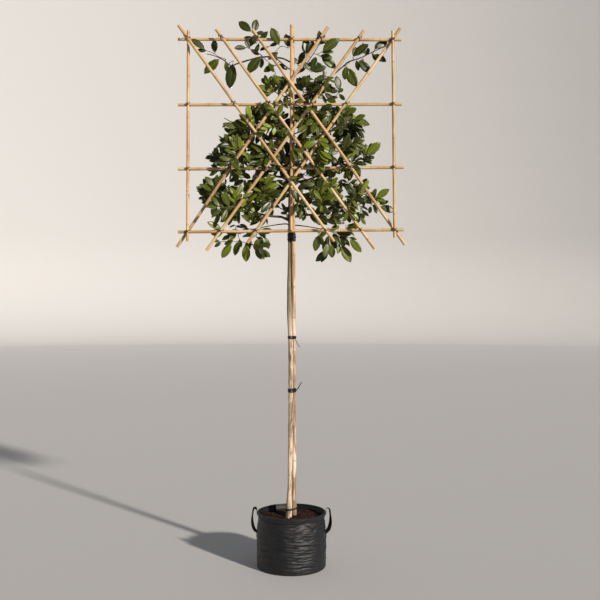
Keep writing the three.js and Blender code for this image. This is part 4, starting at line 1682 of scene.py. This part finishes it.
MASSES: tuple[Mass, ...] = (
    Mass("skirt_left", (-498, 0), (1772, 1996), 6, from_trunk=1984, **HANGING, sprigs=(
        Sprig(-403, 1963, ((148, 98), (186, 98), (216, 66)), BRIGHT, True),
        Sprig(-349, 1894, ((237, 108), (200, 60)), BRIGHT),
        Sprig(-305, 1905, ((251, 92), (290, 60))),
        Sprig(-262, 1884, ((269, 102),), BRIGHT, True),
        Sprig(-202, 1918, ((279, 98), (250, 60))),
        Sprig(-172, 1930, ((300, 84), (20, 50))),
        Sprig(-419, 1893, ((170, 44), (215, 50)), DEEP),
    )),
    Mass("skirt_right", (0, 428), (1772, 1996), 4, from_trunk=1976, **HANGING, sprigs=(
        Sprig(160, 1940, ((259, 99), (285, 70)), MID, True),
        Sprig(212, 1893, ((258, 90), (287, 94))),
        Sprig(288, 1880, ((300, 118), (262, 62)), BRIGHT),
        Sprig(334, 1912, ((311, 104), (350, 50)), BRIGHT, True),
        Sprig(270, 1925, ((240, 52), (320, 48)), DEEP),
    )),
    Mass("low_left_inner", (-280, 0), (1996, 2262), 19, from_trunk=2066),
    Mass("low_left_outer", (-560, -280), (1996, 2262), 17, bough="low_left"),
    Mass("low_right_inner", (0, 295), (1996, 2262), 19, from_trunk=2092),
    Mass("low_right_outer", (295, 590), (1996, 2262), 12, bough="low_right", sprigs=(
        Sprig(487, 2140, ((35, 92), (350, 60)), BRIGHT, True),
        Sprig(510, 2098, ((345, 92), (20, 60)), MID, True),
    )),
    Mass("middle_left_inner", (-256, 0), (2262, 2490), 16, from_trunk=2318),
    Mass("middle_left_outer", (-512, -256), (2262, 2490), 15, bough="middle_left"),
    Mass("middle_right_inner", (0, 257.5), (2262, 2490), 18, from_trunk=2350),
    Mass("middle_right_outer", (257.5, 515), (2262, 2490), 10, bough="middle_right", sprigs=(
        Sprig(430, 2388, ((42, 106), (80, 60)), BRIGHT, True),
    )),
    Mass("high_left_inner", (-220, 0), (2490, 2700), 15, from_trunk=2540, sprigs=(
        Sprig(-182, 2612, ((72, 92),), MID, True),
    )),
    Mass("high_left_outer", (-440, -220), (2490, 2700), 11, bough="high_left", sprigs=(
        Sprig(-312, 2548, ((163, 84), (205, 60)), MID, True),
    )),
    Mass("high_right_inner", (0, 227.5), (2490, 2700), 17, from_trunk=2522),
    Mass("high_right_outer", (227.5, 455), (2490, 2700), 10, bough="high_right", sprigs=(
        Sprig(352, 2590, ((355, 110), (30, 80), (325, 70)), MID, True),
    )),
    Mass("shoulder_left", (-225, 0), (2700, 2862), 5, (4, 6), (0.6, 0.86), from_trunk=2726, sprigs=(
        Sprig(-112, 2752, ((150, 82), (178, 70), (122, 78), (203, 62), (95, 70)), BRIGHT, True),
        Sprig(-38, 2778, ((100, 88), (122, 80), (74, 74)), DEEP),
    )),
    Mass("shoulder_right", (0, 300), (2700, 2862), 5, (4, 6), (0.6, 0.86), from_trunk=2708, sprigs=(
        Sprig(284, 2768, ((182, 62), (98, 88), (340, 62), (25, 70)), DEEP, True),
        Sprig(60, 2790, ((62, 92), (100, 84), (28, 80), (140, 60)), MID),
        Sprig(112, 2764, ((46, 84), (10, 82), (346, 72), (85, 70)), MID, True),
        Sprig(205, 2725, ((20, 70), (345, 72)), MID),
        Sprig(126, 2830, ((12, 86), (160, 70), (335, 84), (200, 66), (35, 60)), DEEP, True),
    )),
    Mass("crest_left", (-318, 0), (2862, 3198), 0, from_trunk=2900, **UPRIGHT, sprigs=(
        Sprig(-228, 3108, ((128, 104), (80, 84), (12, 52)), DEEP, True),
        Sprig(-258, 3020, ((182, 74), (57, 80), (329, 56), (120, 56)), DEEP, True),
        Sprig(-172, 2972, ((231, 118), (262, 60)), DEEP, True),
        Sprig(-146, 2956, ((41, 72), (300, 62)), MID),
        Sprig(-64, 3022, ((117, 106),), MID, True),
        Sprig(-128, 3044, ((200, 54), (20, 50)), DEEP),
        Sprig(-22, 3030, ((96, 78), (60, 50)), DEEP),
        Sprig(14, 3092, ((43, 76), (150, 40)), MID),
        Sprig(-196, 3056, ((150, 84), (55, 76), (250, 60)), DEEP),
        Sprig(-92, 2932, ((205, 72), (110, 70), (330, 60)), DEEP),
    )),
    Mass("crest_right", (0, 282), (2862, 3172), 0, from_trunk=2872, **UPRIGHT, sprigs=(
        Sprig(168, 3040, ((96, 70), (60, 44)), DEEP, True),
        Sprig(172, 2992, ((38, 118), (12, 70)), MID, True),
        Sprig(168, 2984, ((325, 104), (350, 72)), MID),
        Sprig(112, 2946, ((339, 78), (300, 60)), DEEP),
        Sprig(78, 2984, ((84, 90), (60, 84), (112, 74)), DEEP, True),
        Sprig(96, 2908, ((352, 72), (200, 54), (40, 60)), DEEP),
        Sprig(40, 2930, ((70, 80), (130, 60), (20, 54)), DEEP),
        Sprig(118, 2880, ((20, 80), (75, 84), (130, 76)), DEEP, True),
    )),
    Mass(
        "arm_left", (-580, -318), (2790, 3074), 0, bough="arm_left", fuller=1.06,
        via=((-405, 2967), (-457, 2990), (-500, 3000)),
        sprigs=(
            Sprig(-497, 3000, ((140, 94), (176, 56)), DEEP, True),
            Sprig(-446, 2984, ((97, 78),), DEEP, True),
            Sprig(-414, 2966, ((222, 116),), MID, True),
            Sprig(-386, 2962, ((278, 64),), MID),
            Sprig(-338, 2940, ((262, 138),), DEEP, True),
        ),
    ),
    Mass(
        "arm_right", (300, 580), (2776, 3080), 0, bough="arm_right", fuller=1.06,
        via=((411, 2979), (470, 3008), (528, 3034)),
        sprigs=(
            Sprig(358, 2964, ((45, 108), (75, 60)), DEEP, True),
            Sprig(390, 2968, ((313, 98), (282, 60)), DEEP),
            Sprig(486, 3014, ((31, 86), (62, 54)), DEEP, True),
            Sprig(474, 2996, ((330, 84), (300, 50)), DEEP),
            Sprig(432, 2990, ((100, 64), (60, 58), (250, 56)), DEEP),
            Sprig(316, 2930, ((296, 122), (262, 80)), MID),
        ),
    ),
)


@dataclass
class Shoot:
    """The end of a twig, which carries a tuft or a sprig of set leaves."""

    line: list[Vector]
    tone: Tone
    leaves: int
    size: float
    headings: Rows = ()


@dataclass(frozen=True)
class Blade:
    """A leaf in place: its points, faces and roles, and what other leaves keep clear of."""

    points: np.ndarray
    faces: list[tuple[int, ...]]
    roles: np.ndarray
    tone: Tone
    middle: Vector
    reach: float
    tree: BVHTree


@dataclass
class Crown:
    """The leafy head: stems and twigs grown towards tufts, with leaves set round each shoot.

    The edges give how far the leaves reach to each side at a height, and the doorway is the open
    place round the trunk under the lowest tier. Flattened is how much depth counts when tufts are
    spaced, and broader widens the leaves that are set one by one.
    """

    leaf: LeafShape = field(default_factory=LeafShape)
    variants: int = 8
    heights: tuple[float, ...] = (
        1780, 1850, 1950, 2040, 2110, 2200, 2300, 2400, 2500, 2590, 2650, 2710, 2780, 2862,
    )
    left_edge: tuple[float, ...] = (400, 410, 480, 440, 525, 550, 500, 485, 410, 385, 250, 200, 190, 170)
    right_edge: tuple[float, ...] = (350, 375, 390, 450, 560, 480, 430, 490, 420, 440, 380, 320, 280, 250)
    tuft_margin: float = 46.0
    leaf_margin: float = -16.0
    doorway: Pair = (125, 2052)
    tuft_foot: float = 1830
    skirt_from: float = 170
    skirt_top: float = 1985
    front: Pair = (-84 * MM, -12 * MM)
    back: Pair = (50 * MM, 150 * MM)
    front_share: float = 0.06
    depth: Pair = (-118 * MM, 188 * MM)
    flattened: float = 0.4
    candidates: int = 40
    tone_weights: tuple[float, ...] = (0.40, 0.38, 0.22)
    twig_radius: float = 2.6 * MM
    shoot_radius: float = 1.5 * MM
    stem_radius: float = 4.4 * MM
    clear: float = 3.5 * MM
    twig_tries: int = 16
    leaf_tries: int = 22
    broader: float = 1.03
    overhang: float = 14 * MM
    eye: tuple[float, float, float] = (0.05, -5.1, 1.55)
    over_canes: float = 0.1
    seed: int = 101

    def obstacles(self) -> BVHTree:
        """The canes, the stem, the boughs and the ties, which twigs and leaves keep clear of."""
        names = [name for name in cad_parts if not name.startswith("foliage")]
        corners = np.concatenate([node_triangles(name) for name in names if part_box(name)[1].z > 1.7])
        points = corners.reshape(-1, 3)
        faces = np.arange(len(points)).reshape(-1, 3)
        return BVHTree.FromPolygons(points.tolist(), faces.tolist())

    def screens(self, lattice: CaneLattice) -> BVHTree:
        """A sheet of air from each cane towards the eye, which few leaves cross."""
        points, faces = [], []
        for cane in lattice.canes.values():
            if cane.name == "support_cane":
                continue
            start = len(points)
            for point in cane.line:
                sight = (Vector(self.eye) - point).normalized()
                points += [point, point + sight * (self.front[0] - 60 * MM - point.y) / sight.y]
            for place in range(start, len(points) - 2, 2):
                faces.append((place, place + 1, place + 3, place + 2))
        return BVHTree.FromPolygons([tuple(point) for point in points], faces)

    def within(self, x: float, z: float, margin: float) -> bool:
        """Whether a place on the lattice's face, in millimetres, lies inside the crown's edges."""
        edge = self.left_edge if x < 0 else self.right_edge
        if z < self.tuft_foot or (abs(x) < self.doorway[0] and z < self.doorway[1]):
            return False
        if abs(x) < self.skirt_from and z < self.skirt_top:
            return False
        return abs(x) < float(np.interp(z, self.heights, edge)) - margin

    def stem_line(self, mass: Mass, boughs: Boughs) -> list[Vector]:
        """The line of a mass's own stem, on from its bough or out from the trunk."""
        if mass.bough:
            line = boughs.limbs[mass.bough].line
            root = line[-1]
            heading = (line[-1] - line[-4]).normalized()
            points = [root - heading * 4 * MM, root + heading * 26 * MM]
            if mass.via:
                points += [Vector((x, 56, z)) * MM for x, z in mass.via]
            else:
                points += [mass.point(0.55, 54, 0.5), mass.point(0.8, 46, 0.62)]
            return smooth_line(points, 25)
        root = sections("trunk", 2, [mass.from_trunk * MM])[0][0]
        hanging = mass.name.startswith("skirt")
        high = mass.name.startswith(("crest", "shoulder"))
        leaving = root + Vector((mass.side * 36, -9 if high else 14, 14)) * MM
        reach = mass.point(0.7, 50, 0.72) if hanging else mass.point(0.62, 24 if high else 52, 0.66)
        middle = leaving.lerp(reach, 0.5) + UP * (8 if hanging else -10) * MM
        return smooth_line([root, leaving, middle, reach], 25)

    def places(self, draw: random.Random) -> list[list[Vector]]:
        """Where each mass's tufts are wanted: as far from the others as chance finds, inside the edges."""
        taken = [Vector((sprig.x, 0, sprig.z)) for mass in MASSES for sprig in mass.sprigs]
        wanted = []
        for mass in MASSES:
            tufts = []
            for _ in range(mass.tufts):
                best, widest = None, -1.0
                for _ in range(self.candidates):
                    depth = self.front if draw.random() < self.front_share else self.back
                    place = Vector((
                        draw.uniform(*mass.across), draw.uniform(*depth) / MM * self.flattened,
                        draw.uniform(*mass.rise),
                    ))
                    gap = min((place - other).length for other in taken)
                    if gap > widest and self.within(place.x, place.z, self.tuft_margin):
                        best, widest = place, gap
                if best:
                    taken.append(best)
                    tufts.append(Vector((best.x, best.y / self.flattened, best.z)) * MM)
            wanted.append(tufts)
        return wanted

    def twig_line(self, root: Vector, heading: Vector, tip: Vector) -> list[Vector]:
        """A twig's line: it leaves along its parent and bends towards its tip."""
        run = tip - root
        control = root + (heading * 0.55 + run.normalized() * 0.45) * run.length * 0.45
        line = []
        for place in range(9):
            share = place / 8
            line.append(root * (1 - share) ** 2 + control * 2 * share * (1 - share) + tip * share ** 2)
        return line

    def clears(self, line: list[Vector], blocked: BVHTree, skip: int) -> bool:
        """Whether a twig keeps clear of the canes past its first few points."""
        return all(blocked.find_nearest(point, self.clear)[0] is None for point in line[skip:])

    def grow_mass(
        self, mass: Mass, tufts: list[Vector], boughs: Boughs, blocked: BVHTree, draw: random.Random
    ) -> tuple[Mesh, list[Shoot]]:
        """Grows a mass's stem and twigs.

        Args:
            mass: The mass.
            tufts: Where its tufts are wanted.
            boughs: The boughs that feed the outer masses.
            blocked: What the twigs keep clear of.
            draw: The source of chance.

        Returns:
            The mesh of its wood, and its shoots.
        """
        def joints(line: list[Vector], places: Iterable[int]) -> list[tuple[Vector, Vector]]:
            """Places where a twig may leave a line, with the line's heading there."""
            return [(line[place], (line[place] - line[place - 1]).normalized()) for place in places]

        mesh = blank_mesh()
        stem = self.stem_line(mass, boughs)
        radii = np.linspace(self.stem_radius, self.twig_radius * 0.8, len(stem))
        add_limb(mesh, [Station(point, radius, youth=1.0) for point, radius in zip(stem, radii)], 7)
        nodes = joints(stem, range(7, len(stem)))
        shoots = [] if mass.via else [self.new_shoot(mass, stem[-8:], draw)]
        wanted: list[tuple[Vector, Sprig | None]] = [(place, None) for place in tufts]
        for sprig in mass.sprigs:
            depth = (-22, 14) if sprig.ahead else (38, 64)
            wanted.append((Vector((sprig.x, draw.uniform(*depth), sprig.z)) * MM, sprig))
        wanted.sort(key=lambda item: min((item[0] - node[0]).length for node in nodes))
        for place, sprig in wanted:
            for attempt in range(self.twig_tries):
                stray = 7 * MM * attempt
                shares = (0.25, 2, 0.25) if sprig else (1, 2, 1)
                tip = place + Vector([draw.uniform(-0.5, 0.5) * stray * share for share in shares])
                if place.y > self.back[0]:
                    tip.y = max(tip.y, self.back[0])
                root, parent = min(
                    nodes, key=lambda node: (node[0] - tip).length + 0.4 * max(node[0].z - tip.z, 0)
                )
                run = tip - root
                if run.length < 36 * MM and not sprig:
                    tip = root + (run.normalized() * 36 + Vector((0, 0, 8))) * MM
                line = self.twig_line(root, parent, tip)
                if self.clears(line, blocked, 2):
                    break
            else:
                continue
            start = self.twig_radius if (tip - root).length > 80 * MM else self.twig_radius * 0.8
            radii = np.linspace(start, self.shoot_radius, len(line))
            stations = [Station(point, radius, youth=1.0) for point, radius in zip(line, radii)]
            bud = (line[-1] - line[-2]).normalized()
            stations += [
                Station(tip + bud * 3 * MM, 2.2 * MM, youth=0.8),
                Station(tip + bud * 8 * MM, 0.5 * MM, youth=0.6),
            ]
            add_limb(mesh, stations, 6)
            nodes += joints(line, (4, 8))
            if sprig:
                shoots.insert(0, Shoot(line, sprig.tone, len(sprig.leaves), 1.0, sprig.leaves))
            else:
                shoots.append(self.new_shoot(mass, line, draw))
        return mesh, shoots

    def new_shoot(self, mass: Mass, line: list[Vector], draw: random.Random) -> Shoot:
        """Deals a shoot its colour, size and number of leaves."""
        young = draw.random() < mass.young
        grown = [DEEP, MID, BRIGHT]
        tone = YOUNG if young else draw.choices(grown, self.tone_weights)[0]
        size = draw.uniform(*mass.sizes) * (0.86 if young else 1.0)
        return Shoot(line, tone, draw.randint(*mass.leaves), size)

    def leaf_place(
        self, shoot: Shoot, mass: Mass, draw: random.Random, order: int, attempt: int, turn: float
    ) -> np.ndarray:
        """Draws a place for one leaf of a shoot.

        Args:
            shoot: The shoot.
            mass: The mass it belongs to.
            draw: The source of chance.
            order: The leaf's number from the tip.
            attempt: How often it was refused.
            turn: The shoot's first angle.

        Returns:
            A 4 by 4 matrix that puts the template in place.
        """
        line = shoot.line
        back = (3 + 9 * order + 0.8 * order ** 2) * MM * shoot.size
        if shoot.headings:
            back = (2 + 8 * order) * MM
        place = len(line) - 1
        while place > 1 and back > (line[place] - line[place - 1]).length:
            back -= (line[place] - line[place - 1]).length
            place -= 1
        heading = (line[place] - line[place - 1]).normalized()
        base = line[place] - heading * back
        if shoot.headings:
            angle, length = shoot.headings[order]
            angle = math.radians(angle + draw.uniform(-2.5, 2.5) * attempt)
            ahead = -0.1 + draw.uniform(-0.16, 0.16) * (1 + 0.35 * attempt)
            direction = Vector((math.cos(angle), ahead, math.sin(angle))).normalized()
            upper = Vector((draw.uniform(-0.4, 0.4), -1.0, draw.uniform(0.0, 0.5)))
            size = length * MM / self.leaf.length * mass.fuller * (1 - 0.012 * attempt)
        else:
            across = upright_to(heading, Vector((0.1, 1, 0.2)))
            spoke = Quaternion(heading, turn + (order + attempt * 0.37) * GOLDEN_ANGLE) @ across
            opening = draw.uniform(0.25, 0.7) if order == 0 else draw.uniform(0.65, 1.2)
            lean = Vector((mass.lean[0] * mass.side, mass.lean[1], mass.lean[2]))
            direction = heading * math.cos(opening) + spoke * math.sin(opening) + lean * 0.4
            direction.y *= 0.72
            direction.normalize()
            facing = -1.0 if line[-1].y < 0.05 or draw.random() < 0.55 else 1.0
            upper = Vector((draw.uniform(-0.55, 0.7), 0.8 * facing, draw.uniform(-0.05, 0.95)))
            size = shoot.size * (0.78 if order == 0 else draw.uniform(0.84, 1.14)) * (1 - 0.03 * attempt)
        upper = upright_to(direction, upper)
        side = upper.cross(direction)
        root = base + direction * (self.leaf.petiole * size + 1.0 * MM)
        matrix = np.identity(4)
        width = draw.uniform(0.84, 1.02) * (self.broader if shoot.headings else 1.0)
        for column, (axis, scale) in enumerate(((direction, size), (side, size * width), (upper, size))):
            matrix[:3, column] = np.array(axis) * scale
        matrix[:3, 3] = np.array(root)
        return matrix

    def leaf_variants(self, draw: random.Random) -> list[Template]:
        """Builds the few leaves that are repeated, each folded, arched and waved in its own way."""
        variants = []
        for _ in range(self.variants):
            shape = LeafShape(
                fold=draw.uniform(0.12, 0.34), arch=draw.uniform(0.03, 0.24),
                wave=draw.uniform(0.6, 2.6) * MM, twist=draw.uniform(-0.35, 0.35),
            )
            variants.append(shape.template())
        return variants

    def leaf_materials(self) -> list[Material]:
        """Makes the materials of each tone: the upper face, the underside and the midrib."""
        sides = (("upper", 0.36, 0.12), ("under", 0.6, 0.0), ("midrib", 0.5, 0.05))
        return [
            LeafFinish(f"leaf_{tone.name.lower()}_{role}", colour, rough, wax).make()
            for tone in Tone
            for (role, rough, wax), colour in zip(sides, tone.value)
        ]

    def build(self, boughs: Boughs, lattice: CaneLattice, bark: Material) -> None:
        """Builds the twigs and leaves of every mass.

        Args:
            boughs: The boughs that feed the outer masses.
            lattice: The canes that most leaves lie behind.
            bark: The twigs' material.
        """
        blocked = self.obstacles()
        screens = self.screens(lattice)
        draw = random.Random(self.seed)
        variants = self.leaf_variants(draw)
        materials = self.leaf_materials()
        placed: list[Blade] = []
        grown = [
            self.grow_mass(mass, tufts, boughs, blocked, draw)
            for mass, tufts in zip(MASSES, self.places(draw))
        ]
        for mass, (wood, shoots) in zip(MASSES, grown):
            twigs = BVHTree.FromBMesh(wood)
            low, high = [
                np.array([across * MM + past, depth, rise * MM + past])
                for across, depth, rise, past in zip(
                    mass.across, self.depth, mass.rise, (-self.overhang, self.overhang)
                )
            ]
            high[2] = min(high[2], CAD_BOUNDS[1][2])
            leaves = []
            for shoot in shoots:
                turn = draw.uniform(0, math.tau)
                for order in range(shoot.leaves):
                    for attempt in range(self.leaf_tries):
                        points, faces, roles = variants[draw.randrange(self.variants)]
                        matrix = self.leaf_place(shoot, mass, draw, order, attempt, turn)
                        world = points @ matrix[:3, :3].T + matrix[:3, 3]
                        if (world < low).any() or (world > high).any():
                            continue
                        x, _, z = world[np.argmax(np.abs(world[:, 0]))] / MM
                        if not shoot.headings and not self.within(x, z, self.leaf_margin):
                            continue
                        middle = Vector(world.mean(axis=0))
                        reach = float(np.linalg.norm(world - world.mean(axis=0), axis=1).max())
                        flat = [face for face, role in zip(faces, roles) if role != 2]
                        tree = BVHTree.FromPolygons(world.tolist(), flat)
                        if tree.overlap(blocked) or tree.overlap(twigs):
                            continue
                        if not shoot.headings and tree.overlap(screens) and draw.random() > self.over_canes:
                            continue
                        near = [
                            other.tree for other in placed
                            if (other.middle - middle).length < other.reach + reach
                        ]
                        if any(tree.overlap(other) for other in near):
                            continue
                        placed.append(Blade(world, faces, roles, shoot.tone, middle, reach, tree))
                        leaves.append(placed[-1])
                        break
            finish_piece(wood, f"twigs_{mass.name}", [bark], [f"foliage_{mass.name}"], 70)
            self.leaf_piece(mass, leaves, materials)
        LOG.info("leaves: %d", len(placed))

    def leaf_piece(self, mass: Mass, leaves: list[Blade], materials: list[Material]) -> None:
        """Joins a mass's leaves into one piece.

        Args:
            mass: The mass.
            leaves: The leaves.
            materials: The leaf materials, three for each tone.
        """
        points, faces, indices = [], [], []
        count = 0
        tones = list(Tone)
        for blade in leaves:
            points.append(blade.points)
            faces += [tuple(corner + count for corner in face) for face in blade.faces]
            indices.append(blade.roles + 3 * tones.index(blade.tone))
            count += len(blade.points)
        data = bpy.data.meshes.new(f"leaves_{mass.name}")
        data.from_pydata(np.concatenate(points).tolist(), [], faces)
        data.polygons.foreach_set("material_index", np.concatenate(indices))
        data.polygons.foreach_set("use_smooth", np.ones(len(faces), dtype=bool))
        data.update()
        put_on_part(data, materials, [f"foliage_{mass.name}"])


# ---------------- the studio


@dataclass
class Studio:
    """A plain pale floor that rises into a round wall far off, soft light and the camera."""

    camera_place: tuple[float, float, float] = (0.050, -5.13, 1.55)
    lens: float = 52.8
    wall_at: float = 30.0
    wall_height: float = 14.5
    sweep: float = 4.0
    sides: int = 96
    floor_colour: str = "#b8b9ba"
    sky_colour: str = "#e4e8ee"
    sky_strength: float = 0.27
    sun_heading: tuple[float, float, float] = (-0.70, 0.80, -0.46)
    sun_strength: float = 4.8
    sun_angle: float = 0.05
    sun_colour: str = "#fff4e8"

    def build(self) -> None:
        """Builds the floor, the lights and the camera."""
        matt = new_material("matt_floor", Base_Color=linear(self.floor_colour), Roughness=0.9)[0]
        bend = [
            (self.wall_at - self.sweep * (1 - math.sin(turn)), self.sweep * (1 - math.cos(turn)))
            for turn in np.linspace(0, math.pi / 2, 13)
        ]
        self.surface("studio_floor", [(0.0, 0.0), bend[0]], matt)
        wall = self.surface("studio_wall", [*bend, (self.wall_at, self.wall_height)], matt)
        wall.visible_shadow = False
        world = bpy.data.worlds.new("studio")
        world.use_nodes = True
        world.node_tree.nodes["Background"].inputs[0].default_value = linear(self.sky_colour)
        world.node_tree.nodes["Background"].inputs[1].default_value = self.sky_strength
        bpy.context.scene.world = world
        self.add_sun()
        camera = bpy.data.objects.new("camera", bpy.data.cameras.new("camera"))
        camera.data.lens = self.lens
        camera.data.sensor_width = 36.0
        camera.location = self.camera_place
        camera.rotation_euler = (math.pi / 2, 0, 0)
        bpy.context.scene.collection.objects.link(camera)
        bpy.context.scene.camera = camera
        bpy.context.scene.view_settings.view_transform = "Standard"

    def surface(self, name: str, profile: list[Pair], matt: Material) -> bpy.types.Object:
        """Turns a profile round the middle into a part of the studio.

        Args:
            name: The part's name.
            profile: Its points as reach and height.
            matt: Its material.

        Returns:
            The part.
        """
        mesh = turned(profile, self.sides, 1e-4)
        if max(mesh.faces, key=lambda face: face.normal.z ** 2).normal.z < 0:
            bmesh.ops.reverse_faces(mesh, faces=mesh.faces)
        for face in mesh.faces:
            face.smooth = True
        data = bpy.data.meshes.new(name)
        mesh.to_mesh(data)
        mesh.free()
        data.materials.append(matt)
        part = bpy.data.objects.new(name, data)
        bpy.context.scene.collection.objects.link(part)
        return part

    def add_sun(self) -> None:
        """Adds a low sun, whose apparent size in radians softens its shadows."""
        light = bpy.data.lights.new("key", "SUN")
        light.energy = self.sun_strength
        light.angle = self.sun_angle
        light.color = linear(self.sun_colour)[:3]
        lamp = bpy.data.objects.new("key", light)
        lamp.rotation_euler = Vector(self.sun_heading).to_track_quat("-Z", "Y").to_euler()
        bpy.context.scene.collection.objects.link(lamp)


def main() -> None:
    """Builds the tree, its lattice and its bag, and then the studio."""
    logging.basicConfig(level=logging.INFO, format="%(message)s")
    bark = BarkFinish().make()
    thread = SmoothFinish("bonded_thread", "#262528", "#3d3b3e", 0.6).make()
    strap = SmoothFinish("soft_rubber", "#0b0b0c", "#19191c", 0.42).make()
    wire = SmoothFinish("coated_wire", "#171312", "#3b332d", 0.3, 2.0).make()
    bag = GrowBag()
    bag.build(WovenFinish().make(), thread)
    Handles().build(bag, WebbingFinish().make(), thread)
    PottingSoil().build(
        bag,
        CrumbFinish("compost", "#090606", "#241a15", 8.0).make(),
        CrumbFinish("shredded_bark", "#1d110b", "#5a3d2c", 5.0).make(),
    )
    Stem().build(bark)
    boughs = Boughs()
    boughs.build(bark)
    lattice = CaneLattice()
    lattice.build(
        CaneFinish().make(),
        CaneFinish(
            "weathered_bamboo", fleck="#4d3c2d", fleck_share=0.8, knot="#6b5743", fleck_mm=5.0, spread=0.08,
            greyed_up_to=1.55,
        ).make(),
    )
    Lashings().build(lattice, wire)
    StemTies().build(strap)
    Crown().build(boughs, lattice, bark)
    Studio().build()


if __name__ == "__main__":
    main()
